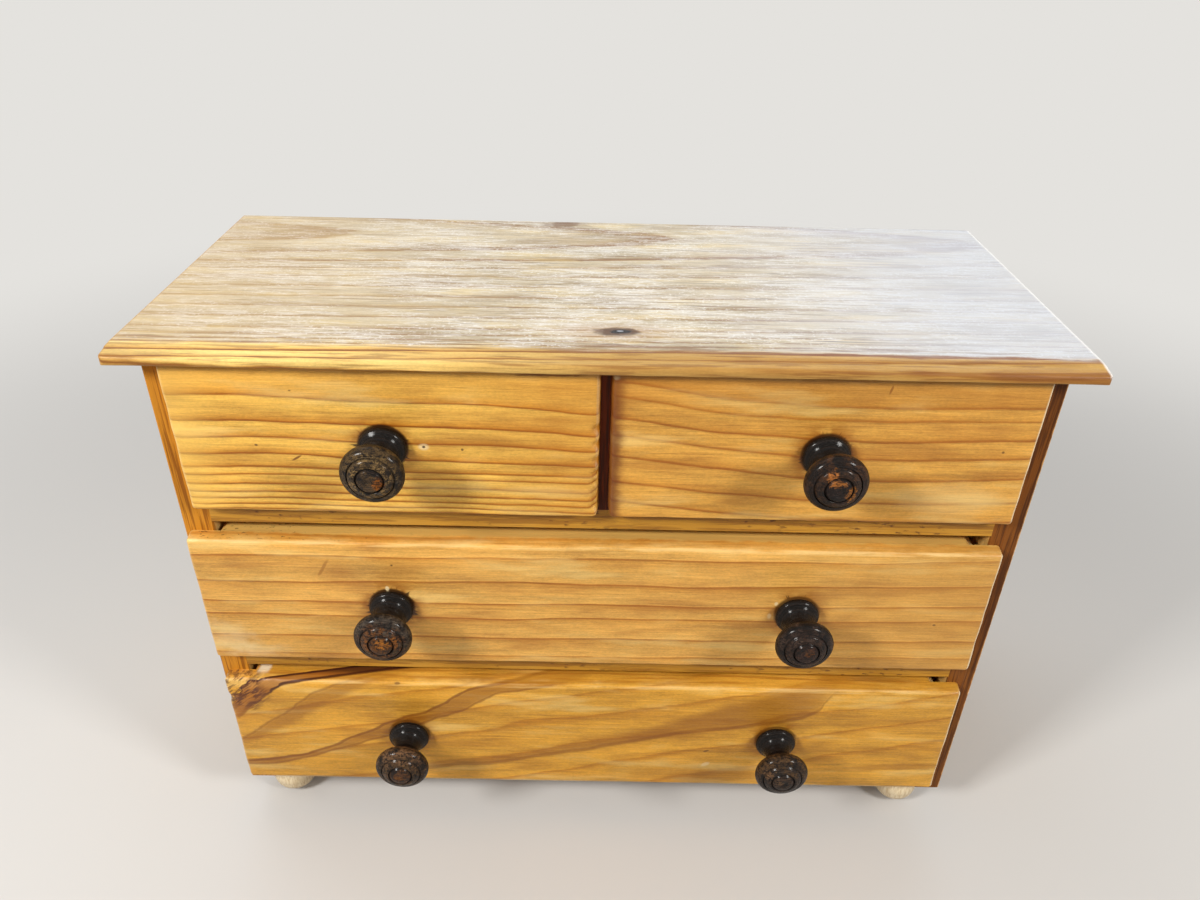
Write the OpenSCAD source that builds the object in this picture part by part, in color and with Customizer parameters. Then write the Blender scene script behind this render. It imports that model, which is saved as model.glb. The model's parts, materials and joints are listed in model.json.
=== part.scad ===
// Miniature pine chest of drawers: two short drawers over two wide ones, on ball feet.
// +X is to the right seen from the front, +Y runs to the back, +Z is up, and the feet stand at z = 0.

/* [Case] */
// Width over the two side panels
case_w = 400; // [340:1:600]
// Depth from the front edges of the case to its back
case_d = 170; // [130:1:300]
// Thickness of the side panels and of the centre divider
panel_t = 14; // [12:0.5:18]
// Thickness of the two shelves between the drawer rows
shelf_t = 11; // [9:0.5:16]
// Thickness of the bottom board
base_t = 8; // [8:0.5:16]
// Thickness of the back panel
back_t = 4; // [3:0.5:6]
// Depth of the stopped housings that the shelves and the bottom board sit in
housing_d = 5; // [3:0.5:6]
// How far behind the front edge a housing stops
housing_stop = 9; // [6:0.5:20]
// How far the back panel reaches over each side panel
back_rebate = 6; // [4:0.5:8]
// Radius worked on the front arrises of the side panels
panel_arris = 1.2; // [0.5:0.1:2]

/* [Drawer openings] */
// Height of the bottom opening
bottom_open_h = 81.5; // [60:0.5:120]
// Height of the middle opening
middle_open_h = 82.5; // [60:0.5:120]
// Height of the two top openings
top_open_h = 77; // [60:0.5:120]

/* [Top board] */
// Thickness of the top board
top_t = 6; // [5:0.5:12]
// Overhang of the top board past each side panel
top_over_side = 10.5; // [4:0.5:20]
// Overhang of the top board past the front edges of the case
top_over_front = 13; // [10:0.5:25]
// How far the top surface falls away from the case front to the nose
nose_fall = 1.3; // [0.5:0.1:2]
// Radius of the nose where the fall turns down
nose_r = 1.8; // [1:0.1:2.2]
// Radius on the underside of the nose and on the ends
top_arris = 1; // [0.5:0.1:1.5]
// Radius of the top board's corners, seen from above
top_corner_r = 2.5; // [1:0.1:6]

/* [Feet] */
// Diameter of the ball feet
foot_d = 25; // [20:0.5:40]
// Diameter of the flat that each foot stands on
foot_pad_d = 8; // [5:0.5:12]
// Diameter of the flat that meets the bottom board
foot_seat_d = 16; // [12:0.5:18]
// Distance from the side of the case to a foot's centre
foot_in_x = 20; // [19:0.5:50]
// Distance from the front or back of the case to a foot's centre
foot_in_y = 14.5; // [13:0.5:40]
// Diameter of the peg that holds a foot
foot_peg_d = 8; // [6:0.5:10]
// How far the peg goes into the bottom board
foot_peg_l = 6; // [4:0.5:7]

/* [Drawer fronts] */
// Gap under a drawer front
front_raise = 0.6; // [0.5:0.1:3]
// Gap over the two short fronts
top_head = 0.7; // [0.5:0.1:10]
// Gap over the middle front
middle_head = 5.4; // [0.5:0.1:10]
// Gap over the bottom front
bottom_head = 4; // [0.5:0.1:10]
// Thickness of the lip that stands in front of the case
lip_t = 7.6; // [5:0.1:12]
// Thickness of the tongue that goes into the opening
tongue_t = 7; // [6:0.1:12]
// How far a wide front laps over each side panel
wide_lip = 9; // [4:0.5:11]
// How far a short front laps over the side panel and over the divider
short_lip = 4.8; // [3:0.1:5.5]
// How far off centre the middle drawer's front is fixed
middle_shift = -3; // [-3:0.5:3]
// How far off centre the bottom drawer's front is fixed
bottom_shift = -2.5; // [-3:0.5:3]
// Radius along the top and the ends of a front's face
front_r = 2.5; // [1:0.1:5]
// Radius along the bottom of a front's face
front_low_r = 1.2; // [0.5:0.1:5]
// Radius of a front's corners, seen from the front
front_corner_r = 2.5; // [1:0.1:5]
// Radius on the top corners of the tongue
tongue_corner_r = 3; // [1:0.1:5]

/* [Drawer boxes] */
// Thickness of the drawer sides
side_t = 8; // [6:0.5:10]
// Thickness of the drawer backs
rear_t = 8; // [6:0.5:10]
// Thickness of the drawer bottoms
floor_t = 3; // [2:0.5:4]
// How much lower the tops of the drawer sides are than the tops of the fronts
side_drop = 3.3; // [1:0.1:20]
// How much lower than the sides a drawer back is
rear_drop = 3; // [1:0.5:10]
// Depth of the grooves that hold a drawer bottom, and of the housings for its back
groove_d = 3; // [2:0.5:4]
// Height of a drawer side below the bottom groove
groove_up = 5; // [4:0.5:10]
// How deep the sides sit in the back of the front
side_seat_d = 3; // [2:0.5:4]
// Gap between a pushed-in drawer and the back panel
rear_gap = 4; // [2:0.5:20]
// How far a drawer's back stands in from the rear ends of its sides
rear_in = 6; // [3:0.5:12]
// Running gap at each side of a drawer box
run_gap = 1; // [0.5:0.1:2]
// Thickness of the guide strips beside the wide drawers
guide_t = 4; // [3:0.5:8]
// Height of the guide strips
guide_h = 9; // [6:0.5:14]
// Gap between the tongue of a front and the guide strips
guide_set = 3; // [1:0.5:20]

/* [Knobs] */
// Largest diameter of a knob's head
knob_d = 27.8; // [20:0.1:40]
// How far a knob stands out from the drawer front
knob_reach = 29; // [24:0.5:40]
// Diameter of the flange against the drawer front
knob_flange_d = 21.6; // [18:0.1:26]
// Diameter of the waist behind the head
knob_waist_d = 12.5; // [10:0.1:15]
// Distance between the two knobs of a wide drawer
knob_pitch = 200.5; // [120:0.5:300]
// How far the knobs sit below the middle of a front
knob_drop = 1.1; // [-5:0.1:5]
// How far outwards from the middle of a short front its knob sits
top_knob_out = 1.5; // [-6:0.5:20]

/* [Nails, pins and screws] */
// Shank diameter of the nails in the top board
nail_d = 1.8; // [1.4:0.1:2.5]
// Length of the nails in the top board
nail_l = 30; // [20:1:40]
// Distance from the case front to the front nails
nail_front = 28; // [15:1:60]
// Distance from the back of the case to the rear nails
nail_rear = 35; // [15:1:60]
// Shank diameter of the panel pins
pin_d = 1.2; // [1:0.1:1.6]
// Length of the panel pins
pin_l = 15; // [12:0.5:20]
// Diameter of the knob screws
screw_d = 3.5; // [3:0.1:4.5]
// How far a knob screw goes into the knob
screw_grip = 12; // [8:0.5:18]

/* [Hidden] */
$fn = 48;
hair = 0.05; // clearance round a nail, pin, peg or screw in its hole
cut = 1; // how far a cutting solid runs past the face it opens

// Heights, from the table up
ball_r = foot_d / 2;
function ball_rise(flat_d) = sqrt(ball_r * ball_r - flat_d * flat_d / 4);
foot_centre = ball_rise(foot_pad_d);
foot_h = foot_centre + ball_rise(foot_seat_d);
base_z = foot_h;
bottom_z = base_z + base_t;
lower_z = bottom_z + bottom_open_h;
middle_z = lower_z + shelf_t;
upper_z = middle_z + middle_open_h;
top_row_z = upper_z + shelf_t;
case_top = top_row_z + top_open_h;
total_h = case_top + top_t;

// Widths and depths
inner_x = case_w / 2 - panel_t;
open_w = 2 * inner_x;
bay_w = (open_w - panel_t) / 2;
bay_x = (panel_t + bay_w) / 2;
back_y = case_d - back_t;
// The origin is below the middle of the whole chest, knobs included
front_y = (lip_t + knob_reach - case_d) / 2;

// A drawer box, from its floor height up and from the case front back
front_t = lip_t + tongue_t;
seat_y = tongue_t - side_seat_d;
box_d = back_y - rear_gap;
rear_y = box_d - rear_in - rear_t;
floor_low = groove_up;
floor_high = groove_up + floor_t;

// Fixings
nail_head_d = 2 * nail_d;
nail_head_t = 0.8;
nail_sink = 0.2;
pin_head_d = 2 * pin_d;
pin_head_t = 0.5;
screw_head_d = 2 * screw_d;
screw_head_t = 2.2;
screw_sink = 0.3;
screw_l = front_t - screw_sink + screw_grip;
slot_w = 0.9;
slot_d = 0.8;
divider_seat = 3; // how deep the divider's foot sits in the upper shelf

// One row for each drawer: name, centre, floor height, height of its front, opening, running gap,
// lip, shift and knobs
NAME = 0;
CX = 1;
FLOOR_Z = 2;
FRONT_H = 3;
OPEN_W = 4;
SIDE_GAP = 5;
LIP = 6;
SHIFT = 7;
KNOBS = 8;
top_h = top_open_h - front_raise - top_head;
middle_h = middle_open_h - front_raise - middle_head;
bottom_h = bottom_open_h - front_raise - bottom_head;
wide_gap = guide_t + run_gap;
wide_knobs = [["left", -knob_pitch / 2], ["right", knob_pitch / 2]];
left_knob = [["", -top_knob_out]];
right_knob = [["", top_knob_out]];
top_left = ["top_left", -bay_x, top_row_z, top_h, bay_w, run_gap, short_lip, 0, left_knob];
top_right = ["top_right", bay_x, top_row_z, top_h, bay_w, run_gap, short_lip, 0, right_knob];
middle = ["middle", 0, middle_z, middle_h, open_w, wide_gap, wide_lip, middle_shift, wide_knobs];
bottom = ["bottom", 0, bottom_z, bottom_h, open_w, wide_gap, wide_lip, bottom_shift, wide_knobs];
DRAWERS = [top_left, top_right, middle, bottom];

// Height of a drawer's sides, and half widths of its box, inside its sides, of its floor in the
// grooves, and of its lipped face
function side_h(d) = front_raise + d[FRONT_H] - side_drop;
function box_x(d) = d[OPEN_W] / 2 - d[SIDE_GAP];
function inside_x(d) = box_x(d) - side_t;
function floor_x(d) = inside_x(d) + groove_d;
function lip_x(d) = d[OPEN_W] / 2 + d[LIP];
function knob_node(d, k) = str("knob_", d[NAME], k[0] == "" ? "" : "_", k[0]);
function knob_z(d) = d[FLOOR_Z] + front_raise + d[FRONT_H] / 2 - knob_drop;

SIDES = [["left", -1], ["right", 1]];
FOOT_ROWS = [["front", foot_in_y], ["rear", case_d - foot_in_y]];
GUIDE_ROWS = [["middle", middle_z], ["bottom", bottom_z]];
DRAWER_PARTS = ["front", "side_left", "side_right", "back", "floor", "pins", "knob_screws"];

WASHED = [0.78, 0.66, 0.50];
VARNISHED = [0.80, 0.52, 0.22];
RAW = [0.85, 0.72, 0.50];
STAINED = [0.16, 0.10, 0.07];
STEEL = [0.55, 0.54, 0.52];

// ---------------------------------------------------------------- helpers

// Moves what is drawn with the case front at y = 0 to its place about the origin
module place() {
    translate([0, front_y, 0]) children();
}

// Draws a right-hand piece on its own side, or the same piece mirrored to the left: s is 1 or -1
module on_side(s) {
    mirror([s < 0 ? 1 : 0, 0, 0]) children();
}

// A block given by its lowest and highest corners
module block(low, high) {
    translate(low) cube(high - low);
}

// A flat shape in X and Z, drawn from y0 to y1
module along_y(y0, y1) {
    translate([0, y1, 0]) rotate([90, 0, 0]) linear_extrude(y1 - y0) children();
}

// A flat shape in Y and Z, drawn from x0 to x1
module along_x(x0, x1) {
    translate([x0, 0, 0]) rotate([90, 0, 90]) linear_extrude(x1 - x0) children();
}

// A rectangle whose corners are rounded, each by its own radius: low left, low right, high right, high left
module soft_rect(low, high, r) {
    corners = [low, [high.x, low.y], high, [low.x, high.y]];
    inward = [[1, 1], [-1, 1], [-1, -1], [1, -1]];
    difference() {
        translate(low) square(high - low);
        for (i = [0:3]) if (r[i] > 0) {
            centre = corners[i] + r[i] * inward[i];
            difference() {
                translate(corners[i] + (r[i] - cut) / 2 * inward[i])
                    square(r[i] + cut, center = true);
                translate(centre) circle(r = r[i]);
            }
        }
    }
}

// ---------------------------------------------------------------- case

// Side profile of the top board: flat, then a long fall to a small rounded nose
module top_profile() {
    nose_y = nose_r - top_over_front;
    nose_z = total_h - nose_fall - nose_r;
    body_y = nose_y - nose_r / 2;
    fall_r = (nose_y * nose_y + nose_fall * nose_fall) / (2 * nose_fall);
    intersection() {
        union() {
            translate([body_y, case_top]) square([case_d - body_y, top_t]);
            translate([nose_y, nose_z]) circle(r = nose_r);
            soft_rect([-top_over_front, case_top], [case_d, nose_z], [top_arris, 0, 0, 0]);
        }
        union() {
            translate([0, total_h - fall_r]) circle(r = fall_r, $fn = 180);
            translate([0, case_top - cut]) square([case_d + cut, top_t + cut]);
        }
    }
}

module top_board() {
    end_x = case_w / 2 + top_over_side;
    color(WASHED) place() difference() {
        intersection() {
            along_x(-end_x, end_x) top_profile();
            along_y(-top_over_front - cut, case_d + cut)
                soft_rect([-end_x, case_top], [end_x, total_h], [1, 1, 1, 1] * top_arris);
            translate([0, 0, case_top - cut]) linear_extrude(top_t + 2 * cut)
                soft_rect([-end_x, -top_over_front], [end_x, case_d], [1, 1, 1, 1] * top_corner_r);
        }
        nail_places() nail_hole();
    }
}

module side_panel(s) {
    color(VARNISHED) place() difference() {
        on_side(s) difference() {
            translate([0, 0, base_z]) linear_extrude(case_top - base_z)
                soft_rect([inner_x, 0], [case_w / 2, case_d], [0, panel_arris, 0, 0]);
            housing(base_z - cut, bottom_z);
            housing(lower_z, lower_z + shelf_t);
            housing(upper_z, upper_z + shelf_t);
            block([inner_x - cut, back_y, base_z - cut],
                [inner_x + back_rebate, case_d + cut, case_top + cut]);
        }
        nail_places() nail_hole();
        back_pin_places() pin_hole();
        peg_places() peg_hole();
    }
}

// The room for a board's end in the right panel, stopped short of the front
module housing(z0, z1) {
    block([inner_x - cut, housing_stop, z0], [inner_x + housing_d, back_y, z1]);
}

// A board between the side panels, with an end at each side for the stopped housings
module housed_board(z0, z1) {
    block([-inner_x, 0, z0], [inner_x, back_y, z1]);
    block([-inner_x - housing_d, housing_stop, z0], [inner_x + housing_d, back_y, z1]);
}

module bottom_board() {
    color(RAW) place() difference() {
        housed_board(base_z, bottom_z);
        peg_places() peg_hole();
        back_pin_places() pin_hole();
    }
}

module shelf_lower() {
    color(VARNISHED) place() difference() {
        housed_board(lower_z, middle_z);
        back_pin_places() pin_hole();
    }
}

module shelf_upper() {
    color(VARNISHED) place() difference() {
        housed_board(upper_z, top_row_z);
        divider_foot();
        back_pin_places() pin_hole();
    }
}

// The part of the divider that goes into the upper shelf, stopped short of its front edge
module divider_foot() {
    block([-panel_t / 2, housing_stop, top_row_z - divider_seat], [panel_t / 2, back_y, top_row_z]);
}

module centre_divider() {
    color(VARNISHED) place() union() {
        translate([0, 0, top_row_z]) linear_extrude(top_open_h)
            soft_rect([-panel_t / 2, 0], [panel_t / 2, back_y], [1, 1, 0, 0] * panel_arris);
        divider_foot();
    }
}

module back_panel() {
    back_x = inner_x + back_rebate;
    color(RAW) place() difference() {
        block([-back_x, back_y, base_z], [back_x, case_d, case_top]);
        back_pin_places() pin_hole();
    }
}

// A strip on a shelf, against a side panel, that keeps a wide drawer in line
module guide(s, z) {
    color(RAW) place() on_side(s) along_y(tongue_t + guide_set, back_y)
        soft_rect([inner_x - guide_t, z], [inner_x, z + guide_h], [0, 0, 0, panel_arris]);
}

// ---------------------------------------------------------------- feet

module peg_places() {
    for (s = SIDES, r = FOOT_ROWS)
        translate([s[1] * (case_w / 2 - foot_in_x), r[1], foot_h]) children();
}

module peg_hole() {
    translate([0, 0, -cut]) cylinder(d = foot_peg_d + 2 * hair, h = foot_peg_l + hair + cut);
}

// A turned ball with a flat below and above, and a peg
module foot(s, y) {
    color(RAW) place() translate([s * (case_w / 2 - foot_in_x), y, 0]) union() {
        rotate_extrude($fn = 72) intersection() {
            translate([0, foot_centre]) circle(r = ball_r);
            square([ball_r, foot_h]);
        }
        cylinder(d = foot_peg_d, h = foot_h + foot_peg_l);
    }
}

// ---------------------------------------------------------------- drawers

// The face with its lips rounded on every edge, and the plain tongue behind it
module drawer_front(d) {
    low = d[FLOOR_Z] + front_raise;
    high = low + d[FRONT_H];
    lip = lip_x(d);
    color(VARNISHED) place() translate([d[CX], 0, 0]) difference() {
        translate([d[SHIFT], 0, 0]) union() {
            intersection() {
                translate([0, 0, low]) linear_extrude(d[FRONT_H])
                    soft_rect([-lip, -lip_t], [lip, 0], [front_r, front_r, 0, 0]);
                along_x(-lip, lip) soft_rect([-lip_t, low], [0, high], [front_low_r, 0, 0, front_r]);
                along_y(-lip_t, 0) soft_rect([-lip, low], [lip, high], [1, 1, 1, 1] * front_corner_r);
            }
            along_y(0, tongue_t)
                soft_rect([-box_x(d), low], [box_x(d), high], [0, 0, 1, 1] * tongue_corner_r);
        }
        for (s = SIDES) on_side(s[1]) side_seat(d);
        block([-floor_x(d), seat_y, d[FLOOR_Z] + floor_low],
            [floor_x(d), tongue_t + cut, d[FLOOR_Z] + floor_high]);
        knob_places(d) screw_hole();
    }
}

// The rebate in the back of a front that a drawer side sits in, open at the tongue's end
module side_seat(d) {
    block([inside_x(d), seat_y, d[FLOOR_Z] - cut],
        [box_x(d) + 2 * d[SIDE_GAP], tongue_t + cut, d[FLOOR_Z] + side_h(d)]);
}

module drawer_side(d, s) {
    z = d[FLOOR_Z];
    color(RAW) place() translate([d[CX], 0, 0]) difference() {
        on_side(s) difference() {
            along_y(seat_y, box_d)
                soft_rect([inside_x(d), z], [box_x(d), z + side_h(d)], [0, 0, 1, 1] * panel_arris);
            block([inside_x(d) - cut, seat_y - cut, z + floor_low],
                [floor_x(d), box_d + cut, z + floor_high]);
            block([inside_x(d) - cut, rear_y, z + floor_high],
                [floor_x(d), rear_y + rear_t, z + side_h(d) + cut]);
        }
        drawer_pin_places(d) pin_hole();
    }
}

module drawer_back(d) {
    low = d[FLOOR_Z] + floor_high;
    high = d[FLOOR_Z] + side_h(d) - rear_drop;
    color(RAW) place() translate([d[CX], 0, 0]) difference() {
        along_x(-floor_x(d), floor_x(d))
            soft_rect([rear_y, low], [rear_y + rear_t, high], [0, 0, 1, 1] * panel_arris);
        drawer_pin_places(d) pin_hole();
    }
}

module drawer_floor(d) {
    color(RAW) place() translate([d[CX], 0, 0]) difference() {
        block([-floor_x(d), seat_y, d[FLOOR_Z] + floor_low],
            [floor_x(d), rear_y + rear_t, d[FLOOR_Z] + floor_high]);
        drawer_pin_places(d) pin_hole();
    }
}

// ---------------------------------------------------------------- knobs

// Children are drawn with +Z out of the drawer front, whose face is at z = 0
module knob_places(d) {
    for (k = d[KNOBS]) knob_place(d, k) children();
}

module knob_place(d, k) {
    translate([d[SHIFT] + k[1], -lip_t, knob_z(d)]) rotate([90, 0, 0]) children();
}

// Turned profile, radius across and height up from the drawer front: a beaded flange, a cove that
// runs smoothly from the bead to the rim of the head, and a crown with a ring and a boss cut in it
bead_r = 2; // half the thickness of the flange
rim_r = 4.1; // half the thickness of the head's rim
crown_h = 3.3; // how far the boss stands in front of the rim
crown_step = 0.4; // how far the edge of the crown is behind the front of the rim
ring_r = 0.75 * knob_d / 2; // where the outer groove runs
boss_r = 0.42 * knob_d / 2; // where the inner groove runs
groove_r = 0.8; // radius of the tool that cuts both grooves
bead = [knob_flange_d / 2 - bead_r, bead_r];
rim = [knob_d / 2 - rim_r, knob_reach - crown_h - rim_r];

// The cove is the circle that leaves the waist and touches both the bead and the rim. For a circle
// of radius r at p, touching means (cove.y - p.y)^2 = slope * cove_r + rest; both together make a
// quadratic in cove_r.
function slope(p, r) = 2 * (r + p.x - knob_waist_d / 2);
function rest(p, r) = slope(p, r) / 2 * (r - p.x + knob_waist_d / 2);
rise = (rim.y - bead.y) ^ 2;
slopes = slope(rim, rim_r) - slope(bead, bead_r);
rests = rise + rest(rim, rim_r) - rest(bead, bead_r);
half_b = 2 * rise * slope(rim, rim_r) - slopes * rests;
const_c = rests ^ 2 - 4 * rise * rest(rim, rim_r);
cove_r = const_c / (half_b + sqrt(half_b ^ 2 - slopes ^ 2 * const_c));
cove = [knob_waist_d / 2 + cove_r, bead.y + sqrt(slope(bead, bead_r) * cove_r + rest(bead, bead_r))];

// The crown is a low dome through the front of the rim and the tip of the boss
crown_edge = rim.y + rim_r - crown_step;
crown_rise = knob_reach - crown_edge;
crown_r = (rim.x ^ 2 + crown_rise ^ 2) / (2 * crown_rise);
function crown_at(x) = knob_reach - crown_r + sqrt(crown_r ^ 2 - x ^ 2);

module knob_profile() {
    difference() {
        union() {
            difference() {
                polygon([[0, 0], [bead.x, 0], bead, cove, rim, [0, rim.y]]);
                translate(cove) circle(r = cove_r - hair / 2, $fn = 96);
            }
            translate(bead) circle(r = bead_r);
            translate(rim) circle(r = rim_r, $fn = 72);
            translate([0, rim.y]) square([rim.x, crown_edge - rim.y]);
            intersection() {
                translate([0, knob_reach - crown_r]) circle(r = crown_r, $fn = 120);
                translate([0, rim.y]) square([rim.x, knob_reach]);
            }
        }
        translate([ring_r, rim.y + rim_r + groove_r / 3]) circle(r = groove_r, $fn = 24);
        translate([boss_r, crown_at(boss_r) + groove_r / 3]) circle(r = groove_r, $fn = 24);
    }
}

module knob(d, k) {
    color(STAINED) place() translate([d[CX], 0, 0]) knob_place(d, k) difference() {
        rotate_extrude($fn = 72) knob_profile();
        translate([0, 0, -cut]) cylinder(d = screw_d + 2 * hair, h = screw_grip + hair + cut);
    }
}

// ---------------------------------------------------------------- nails, pins and screws

// A round nail or pin, point down, with its head at z = 0
module nail(d, l, head_d, head_t) {
    rotate_extrude() polygon([
        [0, 0], [head_d / 2, 0], [head_d / 2, -head_t], [d / 2, -head_t], [d / 2, d - l], [0, -l]
    ]);
}

module nail_places() {
    for (s = SIDES, y = [nail_front, case_d - nail_rear])
        translate([s[1] * (case_w - panel_t) / 2, y, total_h - nail_sink]) children();
}

// The room for a nail in the top, open above its head
module nail_hole() {
    nail(nail_d + 2 * hair, nail_l + hair, nail_head_d + 2 * hair, nail_head_t);
    cylinder(d = nail_head_d + 2 * hair, h = cut);
}

module top_nails() {
    color(STEEL) place() nail_places() nail(nail_d, nail_l, nail_head_d, nail_head_t);
}

// Rows of pins into the bottom board and the shelves, and a column into each side panel
module back_pin_places() {
    for (i = [-1.5:1.5], z = [(base_z + bottom_z) / 2, lower_z + shelf_t / 2, upper_z + shelf_t / 2])
        translate([i * open_w / 4, case_d, z]) rotate([-90, 0, 0]) children();
    for (s = SIDES, z = [(bottom_z + lower_z) / 2, (middle_z + upper_z) / 2, (top_row_z + case_top) / 2])
        translate([s[1] * (inner_x + back_rebate / 2), case_d, z]) rotate([-90, 0, 0]) children();
}

// Pins through the sides into the back, and up through the floor into the back
module drawer_pin_places(d) {
    y = rear_y + rear_t / 2;
    z = d[FLOOR_Z];
    for (s = SIDES, f = [0.3, 0.7])
        translate([s[1] * box_x(d), y, z + f * side_h(d)]) rotate([0, s[1] * 90, 0]) children();
    for (f = [-0.6, 0, 0.6])
        translate([f * box_x(d), y, z + floor_low]) rotate([180, 0, 0]) children();
}

module pin() {
    nail(pin_d, pin_l, pin_head_d, pin_head_t);
}

// The room for a pin, open above its head
module pin_hole() {
    nail(pin_d + 2 * hair, pin_l + hair, pin_head_d + 2 * hair, pin_head_t);
    cylinder(d = pin_head_d + 2 * hair, h = cut);
}

module back_pins() {
    color(STEEL) place() back_pin_places() pin();
}

module drawer_pins(d) {
    color(STEEL) place() translate([d[CX], 0, 0]) drawer_pin_places(d) pin();
}

// A countersunk wood screw from inside the drawer, point towards +Z
module knob_screw() {
    translate([0, 0, screw_sink - front_t]) difference() {
        rotate_extrude() polygon([
            [0, 0], [screw_head_d / 2, 0], [screw_d / 2, screw_head_t],
            [screw_d / 2, screw_l - screw_d], [0, screw_l]
        ]);
        translate([0, 0, -cut]) linear_extrude(cut + slot_d)
            square([screw_head_d + cut, slot_w], center = true);
    }
}

// The room for a screw in the front, open behind its head
module screw_hole() {
    head_d = screw_head_d + 2 * hair;
    shank_d = screw_d + 2 * hair;
    translate([0, 0, -front_t - cut]) cylinder(d = head_d, h = screw_sink + cut);
    translate([0, 0, -front_t + screw_sink]) cylinder(d1 = head_d, d2 = shank_d, h = screw_head_t);
    translate([0, 0, -front_t]) cylinder(d = shank_d, h = front_t + cut);
}

module knob_screws(d) {
    color(STEEL) place() translate([d[CX], 0, 0]) knob_places(d) knob_screw();
}

// ---------------------------------------------------------------- the nodes

top_board();
side_panel(-1);  // side_panel_left
side_panel(1);  // side_panel_right
back_panel();
bottom_board();
shelf_upper();
shelf_lower();
centre_divider();
top_nails();
back_pins();
for (r = GUIDE_ROWS, s = SIDES)
    guide(s[1], r[1]);
for (r = FOOT_ROWS, s = SIDES)
    foot(s[1], r[1]);
for (d = DRAWERS) {
    drawer_front(d);
    drawer_side(d, -1);
    drawer_side(d, 1);
    drawer_back(d);
    drawer_floor(d);
    drawer_pins(d);
    knob_screws(d);
    for (k = d[KNOBS]) knob(d, k);
}
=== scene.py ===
"""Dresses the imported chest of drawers: worn pine boards, stained turned knobs, ball feet and a studio."""

import json
import math

import bpy
from mathutils import Matrix, Vector

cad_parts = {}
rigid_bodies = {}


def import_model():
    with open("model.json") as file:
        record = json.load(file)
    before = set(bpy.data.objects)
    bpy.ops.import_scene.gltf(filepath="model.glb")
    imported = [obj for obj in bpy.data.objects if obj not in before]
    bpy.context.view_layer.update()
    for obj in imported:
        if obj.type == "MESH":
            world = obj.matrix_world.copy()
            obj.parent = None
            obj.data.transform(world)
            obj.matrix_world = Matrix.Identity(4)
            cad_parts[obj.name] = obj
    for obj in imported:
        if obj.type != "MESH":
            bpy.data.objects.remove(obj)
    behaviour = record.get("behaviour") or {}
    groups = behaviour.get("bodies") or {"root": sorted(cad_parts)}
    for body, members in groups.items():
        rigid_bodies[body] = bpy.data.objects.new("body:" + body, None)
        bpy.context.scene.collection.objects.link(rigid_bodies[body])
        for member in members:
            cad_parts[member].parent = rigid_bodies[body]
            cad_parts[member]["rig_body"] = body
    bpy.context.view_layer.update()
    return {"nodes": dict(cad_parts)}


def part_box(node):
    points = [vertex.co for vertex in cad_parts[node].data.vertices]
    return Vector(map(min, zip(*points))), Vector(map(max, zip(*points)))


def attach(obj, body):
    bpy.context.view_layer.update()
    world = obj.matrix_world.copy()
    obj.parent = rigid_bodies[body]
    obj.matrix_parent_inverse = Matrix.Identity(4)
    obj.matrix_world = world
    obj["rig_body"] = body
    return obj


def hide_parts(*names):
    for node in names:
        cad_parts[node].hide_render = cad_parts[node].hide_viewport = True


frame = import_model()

bl_info = {
    "name": "Pine Chest Dresser",
    "version": (1, 0, 0),
    "blender": (4, 5, 0),
    "location": "View3D > Sidebar > Chest",
    "description": "Pine boards, stained knobs, ball feet and a studio for a miniature chest of drawers",
    "category": "Object",
}

MM = 0.001  # a millimetre in metres
IN_MM = 1000  # turns metres into millimetres
CASE_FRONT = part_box("side_panel_left")[0].y
DRAWERS = ("top_left", "top_right", "middle", "bottom")
KNOBS = tuple(sorted(name for name in frame["nodes"] if name.startswith("knob_") and "screws" not in name))
FEET = tuple(sorted(name for name in frame["nodes"] if name.startswith("foot_")))


def body_of_node(name):
    """The moving body that a CAD node belongs to."""
    return frame["nodes"][name]["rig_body"]


def middle_of(node):
    """The middle of a CAD node's box."""
    low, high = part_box(node)
    return (low + high) / 2


def drawer_of(knob):
    """The drawer that a knob belongs to."""
    return next(name for name in DRAWERS if knob.startswith("knob_" + name))


def knob_seat(knob):
    """Where the back of a knob's flange meets its drawer's face."""
    middle = middle_of(knob)
    return Vector((middle.x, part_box("front_" + drawer_of(knob))[0].y, middle.z))


# ---------------------------------------------------------------- colour and shader maths


def srgb(red, green, blue):
    """A colour written as 0 to 255 on a screen, in the linear form that Blender keeps."""
    linear = []
    for value in (red, green, blue):
        value /= 255
        linear.append(value / 12.92 if value <= 0.04045 else ((value + 0.055) / 1.055) ** 2.4)
    return (*linear, 1.0)


def palette(*rows):
    """The three colours of a wood: early wood, late wood and the line where a ring ends."""
    return [srgb(*row) for row in rows]


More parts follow.
